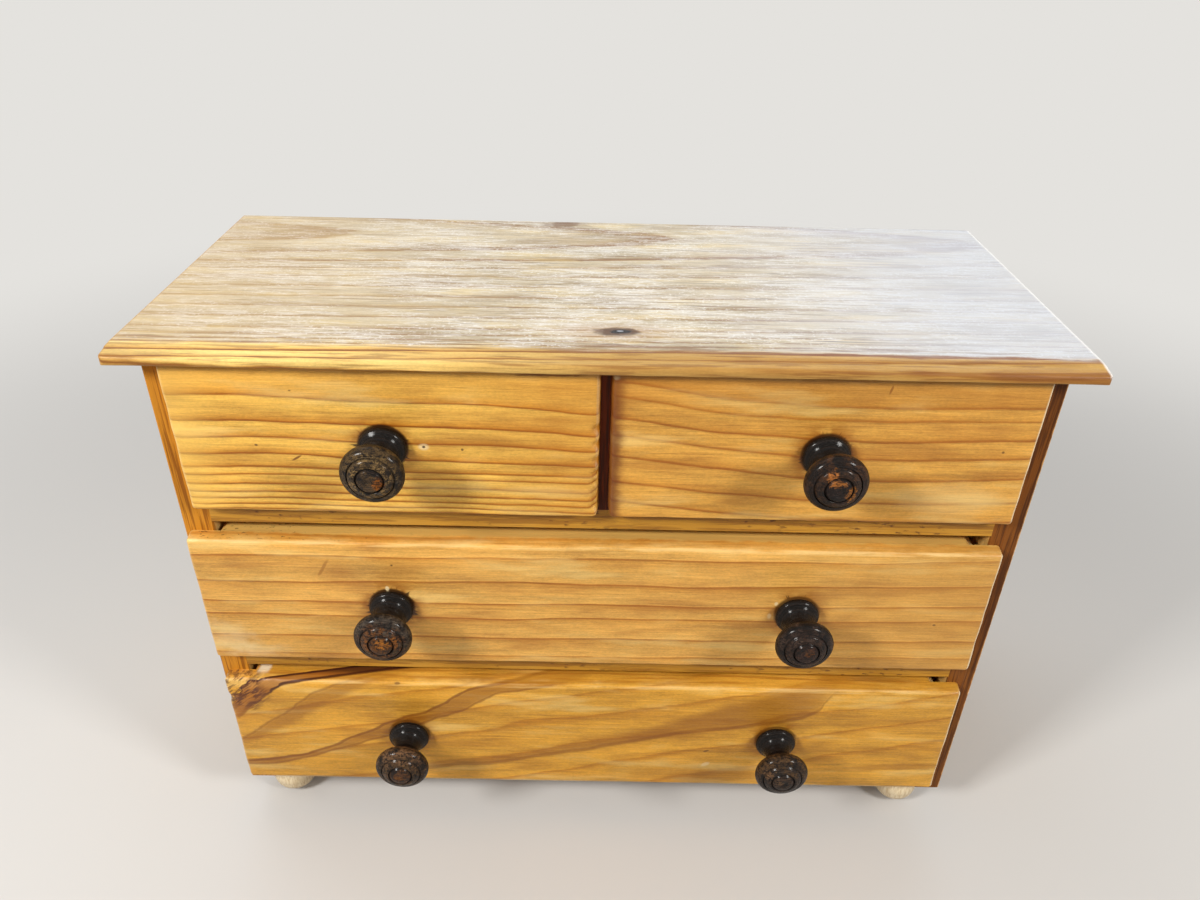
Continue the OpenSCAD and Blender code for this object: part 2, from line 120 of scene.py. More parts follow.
class Wire:
    """The output of a shader node. Arithmetic on wires and numbers adds Math nodes."""

    def __init__(self, recipe, socket):
        self.recipe = recipe
        self.socket = socket

    def math(self, operation, *values):
        return self.recipe.add("ShaderNodeMath", {"operation": operation}, *values)

    def __add__(self, other):
        return self.math("ADD", self, other)

    def __radd__(self, other):
        return self.math("ADD", other, self)

    def __sub__(self, other):
        return self.math("SUBTRACT", self, other)

    def __rsub__(self, other):
        return self.math("SUBTRACT", other, self)

    def __mul__(self, other):
        return self.math("MULTIPLY", self, other)

    def __rmul__(self, other):
        return self.math("MULTIPLY", other, self)

    def __truediv__(self, other):
        return self.math("DIVIDE", self, other)

    def __rtruediv__(self, other):
        return self.math("DIVIDE", other, self)

    def __pow__(self, other):
        return self.math("POWER", self, other)

    def __abs__(self):
        return self.math("ABSOLUTE", self)

    def root(self):
        return self.math("SQRT", self)

    def at_most(self, other):
        return self.math("MINIMUM", self, other)

    def at_least(self, other):
        return self.math("MAXIMUM", self, other)

    def step(self, low, high):
        """Rises smoothly from 0 where this is low to 1 where it is high; low may be above high."""
        if low > high:
            return 1 - self.step(high, low)
        return self.recipe.add(
            "ShaderNodeMapRange", {"interpolation_type": "SMOOTHSTEP"}, self, low, high, 0.0, 1.0)


class Nodes:
    """One tree of shader nodes while it is being made: adds nodes and joins their sockets."""

    def __init__(self, tree):
        self.tree = tree
        self.noise_count = 0

    def add(self, kind, settings=None, *values, output=0, sockets=None):
        """Adds a node, sets it up, gives its inputs numbers or wires, and returns one output."""
        node = self.tree.nodes.new(kind)
        for key, setting in (settings or {}).items():
            if key == "stops":
                self.set_stops(node.color_ramp, setting)
            elif key == "interpolation":
                node.color_ramp.interpolation = setting
            else:
                setattr(node, key, setting)
        for key, value in [*enumerate(values), *(sockets or {}).items()]:
            if isinstance(value, Wire):
                self.tree.links.new(value.socket, node.inputs[key])
            else:
                node.inputs[key].default_value = value
        return Wire(self, node.outputs[output])

    def set_stops(self, ramp, stops):
        while len(ramp.elements) < len(stops):
            ramp.elements.new(1.0)
        for element, (place, colour) in zip(ramp.elements, stops):
            element.position = place
            element.color = colour

    def parts(self, kind, value):
        """The outputs of a node that takes a vector or a colour apart."""
        node = self.add(kind, None, value).socket.node
        return [Wire(self, socket) for socket in node.outputs]

    def millimetres(self, centre):
        """Object coordinates in millimetres, counted from a centre given in metres."""
        place = self.add("ShaderNodeTexCoord", output="Object")
        return self.add("ShaderNodeMapping", None, sockets={
            "Vector": place, "Location": [-IN_MM * c for c in centre], "Scale": (IN_MM, IN_MM, IN_MM)})

    def xyz(self, centre):
        """Three wires for the place in millimetres, counted from a centre given in metres."""
        return self.parts("ShaderNodeSeparateXYZ", self.millimetres(centre))

    def vector(self, *numbers):
        return self.add("ShaderNodeCombineXYZ", None, *numbers)

    def noise(self, vector, sizes, detail=2.0, roughness=0.5):
        """Noise from 0 to 1 whose lumps are about as long as sizes, in millimetres. Each call differs."""
        self.noise_count += 1
        stretched = self.add("ShaderNodeMapping", None, sockets={
            "Vector": vector, "Location": (3.7 * self.noise_count, 1.9 * self.noise_count, 5.3),
            "Scale": [1 / size for size in sizes]})
        return self.add("ShaderNodeTexNoise", None, sockets={
            "Vector": stretched, "Scale": 1.0, "Detail": detail, "Roughness": roughness})

    def mix(self, first, second, share):
        """A colour that goes from first to second as share goes from 0 to 1."""
        return self.add("ShaderNodeMix", {"data_type": "RGBA"}, output=2,
            sockets={0: share, 6: first, 7: second})

    def layers(self, colour, coats):
        """A colour with others laid over it in turn, each given with its share."""
        for coat, share in coats:
            colour = self.mix(colour, coat, share)
        return colour

    def scaled(self, colour, factor):
        """A colour made brighter or darker by a value."""
        return self.add("ShaderNodeVectorMath", {"operation": "SCALE"}, sockets={0: colour, "Scale": factor})

    def curve(self, value, points):
        """A smooth curve through points of value and result."""
        results = [result for _, result in points]
        base, top = min(results), max(results)
        low, high = points[0][0], points[-1][0]
        stops = []
        for place, result in points:
            share = (result - base) / (top - base)
            stops.append(((place - low) / (high - low), (share, share, share, 1)))
        ramp = self.add("ShaderNodeValToRGB", {"stops": stops, "interpolation": "CARDINAL"},
            (value - low) / (high - low))
        return ramp * (top - base) + base

    def spot(self, u, v, place, size, turn, ragged, edge, ripple):
        """A soft oval, 1 inside and 0 outside, whose size is its half length and half height.

        ragged is how far the ripple moves its edge, and edge is how soft it is.
        """
        cos, sin = math.cos(math.radians(turn)), math.sin(math.radians(turn))
        across, up = u - place[0], v - place[1]
        long = (across * cos + up * sin) / size[0]
        short = (up * cos - across * sin) / size[1]
        reach = (long * long + short * short).root() + (ripple - 0.5) * ragged
        return reach.step(1 + edge, 1 - edge)

    def seen_directly(self):
        """1 for what the camera sees, also in metal and through glass, and 0 for light on the object."""
        rays = self.add("ShaderNodeLightPath").socket.node
        camera, glossy, through = (Wire(self, rays.outputs[f"Is {kind} Ray"])
            for kind in ("Camera", "Glossy", "Transmission"))
        return camera.at_least(glossy).at_least(through)


class Recipe(Nodes):
    """One material while it is being made."""

    def __init__(self, name, coat=0.0, coat_roughness=0.2, specular=0.5):
        self.material = bpy.data.materials.new(name)
        self.material.use_nodes = True
        super().__init__(self.material.node_tree)
        self.shader = self.tree.nodes["Principled BSDF"]
        self.shader.inputs["Coat Weight"].default_value = coat
        self.shader.inputs["Coat Roughness"].default_value = coat_roughness
        self.shader.inputs["Specular IOR Level"].default_value = specular

    def finish(self, colour, roughness, height=None, depth=0.3, metallic=0.0):
        """Joins the colour, roughness and relief, whose depth is in millimetres, to the shader."""
        for name, value in (("Base Color", colour), ("Roughness", roughness), ("Metallic", metallic)):
            if isinstance(value, Wire):
                self.tree.links.new(value.socket, self.shader.inputs[name])
            else:
                self.shader.inputs[name].default_value = value
        if height is not None:
            bump = self.add("ShaderNodeBump", None, sockets={
                "Strength": 1.0, "Distance": depth * MM, "Height": height})
            self.tree.links.new(bump.socket, self.shader.inputs["Normal"])
        return self.material


def dress(name, material):
    """Gives a CAD node or a new piece one material."""
    piece = frame["nodes"].get(name) or bpy.data.objects[name]
    piece.data.materials.clear()
    piece.data.materials.append(material)


# ---------------------------------------------------------------- pine

WIDEST_RING = 20.0
MOST_RINGS = 16  # a colour ramp holds 32 stops, two for each ring
AXES = {"X": 0, "Y": 1, "Z": 2}


class Place:
    """A point of a board in millimetres from its middle: u along the grain, v across it, w through it.

    grain names the three axes in that order, as "XZY" for a drawer front. ripple is the noise that
    roughens the edges of marks.
    """

    def __init__(self, recipe, centre, grain):
        xyz = recipe.xyz(centre)
        self.recipe = recipe
        self.u, self.v, self.w = [xyz[AXES[axis]] for axis in grain]
        self.board = recipe.vector(self.u, self.v, self.w)
        self.ripple = None

    def noise(self, sizes, **settings):
        return self.recipe.noise(self.board, sizes, **settings)

    def swell(self, sizes, height, detail):
        """Noise that swings about as far as height on each side of 0."""
        return (self.noise(sizes, detail=detail) - 0.5) * (4 * height)


def ring_values(recipe, depth, rings, soft):
    """Lateness in the year, width and darkness of the growth ring at a depth, in millimetres.

    rings lists where each ring ends and how dark its end line is.
    """
    low, high = rings[0][0], rings[-1][0]
    span = high - low
    stops = []
    for (start, _), (end, dark) in zip(rings, rings[1:]):
        width = min((end - start) / WIDEST_RING, 1)
        gap = min(soft, (end - start) / 3) / 2
        stops.append(((start - low + gap) / span, (0, width, dark, 1)))
        stops.append(((end - low - gap) / span, (1, width, dark, 1)))
    colour = recipe.add("ShaderNodeValToRGB", {"stops": stops}, (depth - low) / span)
    late, width, dark = recipe.parts("ShaderNodeSeparateColor", colour)
    return late, width * WIDEST_RING, dark


def even_rings(low, high, widths, darks):
    """Ring ends from low to high, with widths and darknesses taken in turn."""
    rings = [(low, 0.5)]
    while rings[-1][0] < high and len(rings) <= MOST_RINGS:
        count = len(rings) - 1
        rings.append((rings[-1][0] + widths[count % len(widths)], darks[count % len(darks)]))
    return rings


def wood_colour(recipe, late, width, dark, woods, line, fibre):
    """Pale early wood that deepens before a thin dark line where each ring ends."""
    pale, gold, end = woods
    to_end = (1 - late) * width
    reach = (width * 0.6).at_most(6)
    deepen = (1 - to_end / reach).at_least(0) ** 1.5
    edge = to_end.step(line, 0.25 * line)
    return recipe.layers(pale, [
        (gold, late * 0.3 + deepen * (0.45 + 0.5 * dark)),
        (end, edge * dark * (0.5 + 0.8 * fibre).at_most(1)),
    ])


def fibres(at, colour, dark, strength):
    """Pine's fibres over a colour: long soft stripes, short fine ones, hairlines and broad tone."""
    recipe = at.recipe
    long = at.noise((70, 1.5, 2.2), detail=4, roughness=0.66)
    short = at.noise((16, 0.55, 0.8), detail=3, roughness=0.68)
    hair = at.noise((24, 0.32, 0.5), detail=2)
    sheen = at.noise((1.6, 0.7, 0.9), detail=2, roughness=0.7)
    broad = at.noise((60, 14, 24), detail=5, roughness=0.66)
    elsewhere = 371  # keeps the patches from following the broad tone
    moved = recipe.vector(at.u + elsewhere, at.v + elsewhere, at.w + elsewhere)
    patch = recipe.noise(moved, (52, 10, 20), detail=4)
    light = (long - 0.5) * 0.65 + (short - 0.5) * 0.6 + (broad - 0.5) * 1.2 + (sheen - 0.5) * 0.55
    colour = recipe.layers(recipe.scaled(colour, 1 + light * strength), [
        (dark, patch.step(0.5, 0.3) * (0.4 * strength)),
        (srgb(255, 226, 146), patch.step(0.5, 0.72) * (0.4 * strength)),
        (dark, hair.step(0.6, 0.74) * (0.45 * strength)),
    ])
    return colour, long, short, broad


def pine(name, centre, grain, rings, woods, bend=None, warp=(1.4, 0.35), soft=0.5, line=1.3, slope=0.3,
         marks=(), coat=0.12, specular=0.3, roughness=0.4, relief=0.3, strength=1.0):
    """Varnished or bare pine with its own growth rings.

    bend is a function that gives the depth of the rings at a Place, instead of plain v. marks lists
    (colour, strength, mask), painted in turn, and a mask is a function from a Place to 0 to 1.
    """
    recipe = Recipe(name, coat=coat, specular=specular)
    at = Place(recipe, centre, grain)
    depth = (bend(at) if bend else at.v) + slope * at.w
    depth = depth + at.swell((95, 24, 30), warp[0], detail=1)
    depth = depth + at.swell((22, 5, 6), warp[1], detail=2)
    late, width, dark = ring_values(recipe, depth, rings, soft)
    thread = at.noise((20, 0.9, 0.9), detail=3, roughness=0.6)
    colour = wood_colour(recipe, late, width, dark, woods, line, thread)
    colour, long, short, broad = fibres(at, colour, woods[2], strength)
    at.ripple = at.noise((6, 4, 4), detail=3)
    colour = recipe.layers(colour, [(paint, mask(at) * share) for paint, share, mask in marks])
    height = late * 0.5 + long * 0.6 + short * 0.6
    gloss = roughness + (short - 0.5) * 0.2 + (broad - 0.5) * 0.2
    return recipe.finish(colour, gloss, height, depth=relief)


# ---------------------------------------------------------------- masks for marks


def within(*masks):
    """A mask only where all the given masks are."""

    def mask(at):
        share = masks[0](at)
        for other in masks[1:]:
            share = share * other(at)
        return share

    return mask


def patches(sizes, low, high, detail=3, roughness=0.6):
    """A mask in patches about as long as sizes, where noise rises from low to high."""
    return lambda at: at.noise(sizes, detail=detail, roughness=roughness).step(low, high)


def along(axis, start, full, ripple=0.0):
    """A mask along u, v or w from 0 at start to 1 at full, with an edge that ripples."""
    if ripple:
        return lambda at: (getattr(at, axis) + (at.ripple - 0.5) * ripple).step(start, full)
    return lambda at: getattr(at, axis).step(start, full)


def outside(mask):
    """A mask where another isn't."""
    return lambda at: 1 - mask(at)


class Face:
    """The face of one drawer front. Points are (x, z) in millimetres in the chest's frame."""

    def __init__(self, name):
        self.low, self.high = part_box("front_" + name)
        self.centre = (self.low + self.high) / 2
        self.half = (self.high - self.low) / 2 * IN_MM
        self.depth = (self.low.y - self.centre.y) * IN_MM

    def local(self, point):
        """A point counted from the middle of the face."""
        return point[0] - self.centre.x * IN_MM, point[1] - self.centre.z * IN_MM

    def oval(self, point, size, turn=0.0, ragged=0.6, edge=0.4):
        """A mask for a mark of a half length and half height at a point."""
        place = self.local(point)
        return lambda at: at.recipe.spot(at.u, at.v, place, size, turn, ragged, edge, at.ripple)

    def zone(self, side, start, full):
        """A mask along one edge: 0 at start and 1 at full, in millimetres from the edge."""
        gaps = {"top": lambda at: self.half.z - at.v, "foot": lambda at: self.half.z + at.v,
            "left": lambda at: self.half.x + at.u, "right": lambda at: self.half.x - at.u}
        return lambda at: (gaps[side](at) + (at.ripple - 0.5) * 0.5).step(start, full)

    def end_zone(self, side, start, full):
        """A broken mask along one end, on the face and its rounded corner and not on the end itself."""

        def on_face(at):
            return (at.w - self.depth).step(2.6, 1.4)

        return within(self.zone(side, start, full), on_face, patches((3, 18, 3), 0.26, 0.44))

    # top is the share of pooled varnish; the arris, left and right shares are painted highlights
    def varnish_edges(self, top=0.6, arris_highlight=0.4, left=0.3, right=0.5):
        """Varnish pooled dark on a front's top; painted highlights on its arris and ends, painted shade on
        its lower edge.
        """
        pool = self.zone("top", 1.0, 0.2)
        return [
            (srgb(206, 148, 48), top * 0.8, pool),
            (srgb(150, 84, 14), top, within(pool, patches((46, 3, 2), 0.42, 0.62))),
            # painted highlight on the rounded top arris, broken in patches
            (srgb(255, 222, 150), arris_highlight,
                within(self.zone("top", 3.2, 1.9), outside(pool), patches((30, 2, 2), 0.36, 0.6))),
            # painted highlights on the rounded ends, brighter at the right end
            (srgb(252, 216, 140), left, self.end_zone("left", 2.6, 0.8)),
            (srgb(255, 238, 200), right * 0.9, self.end_zone("right", 2.2, 1.2)),
            # painted shade along the rounded lower edge
            (srgb(150, 90, 26), 0.3, self.zone("foot", 1.4, 0.3)),
        ]

    def grime(self, knob, drips, halo):
        """A knob's dark drips and the soft orange-brown halo round them."""
        seat = knob_seat(knob)
        middle = self.local((seat.x * IN_MM, seat.z * IN_MM))
        edge = 10.4  # just inside the rim of the knob's flange
        apart = 900  # each knob has its own part of the noise

        def around(at):
            across, up = at.u - middle[0], at.v - middle[1]
            return across, up, (across * across + up * up).root()

        def stain(at):
            across, up, reach = around(at)
            place = at.recipe.vector(across + seat.x * apart, up, seat.z * apart)
            patch = at.recipe.noise(place, (9, 6, 6), detail=3)
            return reach.step(edge + 9, edge - 1) * patch.step(0.34, 0.56)

        def smudge(spread, least):
            def mask(at):
                across, up, reach = around(at)
                bearing = at.recipe.vector(across / reach, up / reach, seat.x * 10 + spread)
                ray = at.recipe.noise(bearing, (0.4, 0.4, 1), detail=4, roughness=0.75)
                return (reach - ray.step(least, least + 0.26) * spread).step(edge + 1.6, edge + 0.2)

            return mask

        return [(srgb(150, 80, 12), halo * 1.6, stain), (srgb(110, 56, 14), halo, smudge(6, 0.54)),
            (srgb(36, 20, 12), drips, smudge(5, 0.66 - 0.14 * drips))]

    def slanted(self, at, lean):
        """The place along the front, moved with depth as the figure leans, with a ripple."""
        return at.u - (at.w - self.depth) * lean + (at.ripple - 0.5) * 3

    def height_on(self, at, u, points):
        """The height at u of a curve through points."""
        return at.recipe.curve(u, [self.local(point) for point in points])

    def between_ends(self, u, points, fade):
        """1 between the ends of a curve, fading out past them."""
        start, end = self.local(points[0])[0], self.local(points[-1])[0]
        return u.step(start - fade, start + fade) * u.step(end + fade, end - fade)

    def ribbon(self, upper, lower, soft=1.2, fade=6, lean=2.4):
        """A mask between two curves of points; lean moves it along the front with depth."""

        def mask(at):
            u = self.slanted(at, lean)
            under = self.height_on(at, u, upper) - at.v
            over = at.v - self.height_on(at, u, lower)
            return under.step(-soft, soft) * over.step(-soft, soft) * self.between_ends(u, upper, fade)

        return mask

    def stroke(self, points, width, fade=6, lean=2.4):
        """A mask along one curve of points, as wide as width on each side of it."""

        def mask(at):
            u = self.slanted(at, lean)
            off = abs(at.v - self.height_on(at, u, points))
            return off.step(width, width * 0.25) * self.between_ends(u, points, fade)

        return mask

    def rings_down(self, *heights):
        """Rings that end at heights in the chest's frame, counted downwards from the middle."""
        middle = self.centre.z * IN_MM
        return [(middle - height, dark) for height, dark in heights]

    def bend(self, points, level=1.0):
        """Counts rings down from the middle and lets them rise with the height given at each x.

        level is the share of the rise that the lower rings keep.
        """
        local = [(x - self.centre.x * IN_MM, rise) for x, rise in points]

        def depth(at):
            rise = at.recipe.curve(at.u, local)
            if level != 1.0:
                rise = rise * (level + (1 - level) * at.v.step(-30, 32))
            return rise - at.v

        return depth


# ---------------------------------------------------------------- modelling helpers


def pick_only(piece):
    """Makes one object the active and only selected one."""
    bpy.ops.object.select_all(action="DESELECT")
    piece.select_set(True)
    bpy.context.view_layer.objects.active = piece


def edit(piece, steps, vertices=None, edges=None):
    """Selects vertices or edges by place, or all, then runs steps in edit mode."""
    pick_only(piece)
    mesh = piece.data
    bpy.ops.object.mode_set(mode="EDIT")
    bpy.ops.mesh.select_mode(type="EDGE" if edges else "VERT")
    bpy.ops.mesh.select_all(action="DESELECT" if vertices or edges else "SELECT")
    bpy.ops.object.mode_set(mode="OBJECT")
    if vertices:
        for vertex in mesh.vertices:
            vertex.select = vertices(vertex.co)
    if edges:
        for edge in mesh.edges:
            edge.select = edges(*[mesh.vertices[i].co for i in edge.vertices])
    bpy.ops.object.mode_set(mode="EDIT")
    steps()
    bpy.ops.object.mode_set(mode="OBJECT")


def cuboid(name, low, high):
    """A block between two corners, with its place in its mesh."""
    bpy.ops.object.select_all(action="DESELECT")
    middle = [(a + b) / 2 for a, b in zip(low, high)]
    bpy.ops.mesh.primitive_cube_add(size=1, location=middle, scale=[b - a for a, b in zip(low, high)])
    piece = bpy.context.object
    piece.name = name
    piece.data.name = name
    bpy.ops.object.transform_apply(location=True, rotation=True, scale=True)
    return piece


def apply_modifier(piece, kind, **settings):
    """Adds a modifier with its settings and applies it at once."""
    pick_only(piece)
    modifier = piece.modifiers.new(kind.lower(), kind)
    for key, value in settings.items():
        setattr(modifier, key, value)
    bpy.ops.object.modifier_apply(modifier=modifier.name)


def combine(piece, other, operation):
    """Joins another piece to this one or cuts it away, and removes it."""
    apply_modifier(piece, "BOOLEAN", object=other, operation=operation, solver="EXACT")
    bpy.data.objects.remove(other)


def round_edges(piece, width, chosen):
    """Rounds edges, each by its own share of width: chosen gives the share for an edge's two ends."""
    mesh = piece.data
    weights = mesh.attributes.new("bevel_weight_edge", "FLOAT", "EDGE")
    for edge in mesh.edges:
        weights.data[edge.index].value = chosen(*[mesh.vertices[i].co for i in edge.vertices])
    apply_modifier(piece, "BEVEL", width=width, segments=5, limit_method="WEIGHT", use_clamp_overlap=True)


def subdivide_along(piece, axis, cuts, shortest):
    """Cuts the long edges that run along an axis into equal lengths."""

    def long_edge(a, b):
        run = b - a
        return abs(run[AXES[axis]]) > 0.999 * run.length and run.length > shortest

    edit(piece, lambda: bpy.ops.mesh.subdivide(number_cuts=cuts), edges=long_edge)


def press(piece, place, radius, move):
    """Moves the surface near a place, most at the nearest vertex and nothing beyond the radius."""
    corners = [vertex.co.copy() for vertex in piece.data.vertices]
    nearest = min(corners, key=lambda co: (co - place).length_squared)

    def drag():
        bpy.ops.transform.translate(value=move, use_proportional_edit=True,
            proportional_edit_falloff="SMOOTH", proportional_size=radius)

    edit(piece, drag, vertices=lambda co: co == nearest)


def wear(piece, weigh, size, depth):
    """Sinks the surface unevenly, never outwards: weigh gives each vertex its share from 0 to 1."""
    group = piece.vertex_groups.new(name="wear")
    for vertex in piece.data.vertices:
        share = weigh(vertex.co)
        if share > 0:
            group.add([vertex.index], share, "REPLACE")
    lumps = bpy.data.textures.new("lumps", "CLOUDS")
    lumps.noise_scale = size
    lumps.noise_depth = 1
    apply_modifier(piece, "DISPLACE", texture=lumps, texture_coords="LOCAL", direction="NORMAL",
        mid_level=1.0, strength=depth, vertex_group="wear")
    piece.vertex_groups.clear()


def smooth(piece, angle=35):
    pick_only(piece)
    bpy.ops.object.shade_smooth_by_angle(angle=math.radians(angle))


def turned(name, profile, steps):
    """Spins a profile, a list of (radius, height) in metres, about Z into a closed turned shape."""
    bpy.ops.object.select_all(action="DESELECT")
    bpy.ops.mesh.primitive_plane_add(size=MM, location=(0, 0, 0))
    piece = bpy.context.object
    piece.name = name
    piece.data.name = name
    bpy.ops.object.mode_set(mode="EDIT")
    bpy.ops.mesh.merge(type="CENTER")
    bpy.ops.transform.translate(value=(profile[0][0], 0, profile[0][1]))
    for (r0, h0), (r1, h1) in zip(profile, profile[1:]):
        bpy.ops.mesh.extrude_region_move(TRANSFORM_OT_translate={"value": (r1 - r0, 0, h1 - h0)})
    bpy.ops.mesh.select_all(action="SELECT")
    bpy.ops.mesh.spin(steps=steps, angle=2 * math.pi, center=(0, 0, 0), axis=(0, 0, 1))
    bpy.ops.mesh.select_all(action="SELECT")
    bpy.ops.mesh.remove_doubles(threshold=MM / 1000)
    bpy.ops.mesh.normals_make_consistent(inside=False)
    bpy.ops.object.mode_set(mode="OBJECT")
    return piece


def arc(centre, radius, start, end, count):
    """Points on a circle from one angle to another, in degrees from the outward direction."""
    points = []
    for i in range(count + 1):
        angle = math.radians(start + (end - start) * i / count)
        points.append((centre[0] + radius * math.cos(angle), centre[1] + radius * math.sin(angle)))
    return points


def copy_to(piece, name, matrix):
    """A copy with its own mesh, moved inside its mesh."""
    twin = piece.copy()
    twin.data = piece.data.copy()
    twin.name = name
    twin.data.name = name
    bpy.context.scene.collection.objects.link(twin)
    twin.data.transform(matrix)
    return twin


def stand_for(piece, node):
    """Lets a finished piece replace a CAD node and ride on its body."""
    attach(piece, body_of_node(node))
    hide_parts(node)


# ---------------------------------------------------------------- settings


class ChestSizes(bpy.types.PropertyGroup):
    """Sizes that a user would change, in metres."""

    front_round: bpy.props.FloatProperty(
        name="Front rounding", description="Radius along the top and the ends of a drawer front",
        default=2.5 * MM, min=0, unit="LENGTH", subtype="DISTANCE")
    edge_wear: bpy.props.FloatProperty(
        name="Edge wear", description="Deepest wear along the edges of the drawer fronts",
        default=0.7 * MM, min=0, unit="LENGTH", subtype="DISTANCE")
    face_wave: bpy.props.FloatProperty(
        name="Face wave", description="How uneven the hand-planed faces are",
        default=0.3 * MM, min=0, unit="LENGTH", subtype="DISTANCE")
    knob_wear: bpy.props.FloatProperty(
        name="Knob wear", description="How uneven the turned knobs are",
        default=0.14 * MM, min=0, unit="LENGTH", subtype="DISTANCE")


class ChestColours(bpy.types.PropertyGroup):
    """Colours that a user would change."""

    pale: bpy.props.FloatVectorProperty(
        name="Early wood", description="Top left front, just inside a ring",
        default=srgb(240, 190, 88), size=4, min=0, max=1, subtype="COLOR")
    gold: bpy.props.FloatVectorProperty(
        name="Late wood", description="Top left front, before the end of a ring",
        default=srgb(202, 134, 40), size=4, min=0, max=1, subtype="COLOR")
    line: bpy.props.FloatVectorProperty(
        name="Ring line", description="Top left front, thin dark line where a ring ends",
        default=srgb(142, 76, 16), size=4, min=0, max=1, subtype="COLOR")
    stain: bpy.props.FloatVectorProperty(
        name="Knob stain", description="Near-black brown stain on the knobs",
        default=srgb(14, 10, 8), size=4, min=0, max=1, subtype="COLOR")
    floor: bpy.props.FloatVectorProperty(
        name="Floor", description="Plain pale floor and backdrop",
        default=srgb(228, 226, 222), size=4, min=0, max=1, subtype="COLOR")


def sizes():
    return bpy.context.scene.chest_sizes


def colours():
    return bpy.context.scene.chest_colours


# ---------------------------------------------------------------- drawer fronts

# Dents as (x, z, radius, move), in millimetres in the chest's frame.
RING_GROOVES = [(-2.6, z, 3.4, (-1.4, 0.8, 0)) for z in (264, 255, 246.5, 240.5, 235.5, 231, 227, 222.5)]
TORN_CORNER = [
    (-196.5, 92, 4, (0.9, 0.7, 0)),
    (-191, 99, 4.5, (0.3, 1.3, 0)),
    (-187, 105.5, 4, (0, 1.2, -0.9)),
    (-180, 106.5, 4, (0, 1.0, -1.1)),
    (-193, 104, 5, (0.6, 1.0, -1.2)),
    (-171, 103.5, 3.5, (0, 0.9, 0)),
    (-184, 97, 3.5, (0, 0.8, 0)),
    (-176, 98.5, 3, (0, 0.6, 0)),
]
DENTS = {"top_left": RING_GROOVES, "bottom": TORN_CORNER}


def lip_shape(name):
    """The rounded face board of a front, waved, dented and worn along its edges."""
    low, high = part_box("front_" + name)
    lip = cuboid("dressed_front_" + name, low, (high.x, CASE_FRONT, high.z))

    def outer(a, b):
        along_face = max(a.y, b.y) < low.y + MM
        corner = abs(a.y - b.y) > MM
        foot = along_face and max(a.z, b.z) < low.z + MM
        return 0.48 if foot else 1.0 if along_face or corner else 0.0

    round_edges(lip, sizes().front_round, outer)
    shortest = 20 * MM
    subdivide_along(lip, "X", 70 if name.startswith("top") else 120, shortest)
    subdivide_along(lip, "Z", 60 if name == "top_left" else 36, shortest)

    def on_face(co):
        return 1.0 if co.y < CASE_FRONT - 3 * MM else 0.0

    def near_edge(co):
        gap = min(co.x - low.x, high.x - co.x, co.z - low.z, high.z - co.z)
        share = max(0.0, 1 - gap / (6 * MM))
        return share if co.y < CASE_FRONT - MM else 0.0

    wear(lip, on_face, 45 * MM, sizes().face_wave)
    wear(lip, near_edge, 14 * MM, sizes().edge_wear)
    for x, z, radius, move in DENTS.get(name, ()):
        press(lip, Vector((x * MM, low.y, z * MM)), radius * MM, [m * MM for m in move])
    return lip


def tongue_shape(name):
    """The part of a front inside the case, rebated for the drawer's sides and bottom."""
    low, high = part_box("front_" + name)
    side_low, left_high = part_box("side_left_" + name)
    side_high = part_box("side_right_" + name)[1]
    floor_low, floor_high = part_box("floor_" + name)
    shift = (low.x + high.x) / 2 - (side_low.x + side_high.x) / 2
    into_lip = 0.5 * MM
    tongue = cuboid("tongue_" + name, (side_low.x + shift, CASE_FRONT - into_lip, low.z),
        (side_high.x + shift, high.y, high.z))

    def top_corner(a, b):
        return 1.0 if abs(a.y - b.y) > MM and a.z > high.z - MM else 0.0

    round_edges(tongue, 3 * MM, top_corner)
    seat_y = side_low.y
    far = 5 * MM
    wall = left_high.x - side_low.x
    cuts = (
        ((side_low.x - far, seat_y, low.z - far), (side_low.x + wall, high.y + far, left_high.z)),
        ((side_high.x - wall, seat_y, low.z - far), (side_high.x + far, high.y + far, left_high.z)),
        ((floor_low.x, seat_y, floor_low.z), (floor_high.x, high.y + far, floor_high.z)),
    )
    for corner, other in cuts:
        combine(tongue, cuboid("cutter", corner, other), "DIFFERENCE")
    return tongue


def front_shape(name):
    """A lipped front: a worn, rounded face board and the rebated tongue behind it."""
    lip = lip_shape(name)
    combine(lip, tongue_shape(name), "UNION")
    smooth(lip)
    return lip


DARK_SPECK = srgb(60, 34, 18)
CHIP = srgb(244, 220, 170)


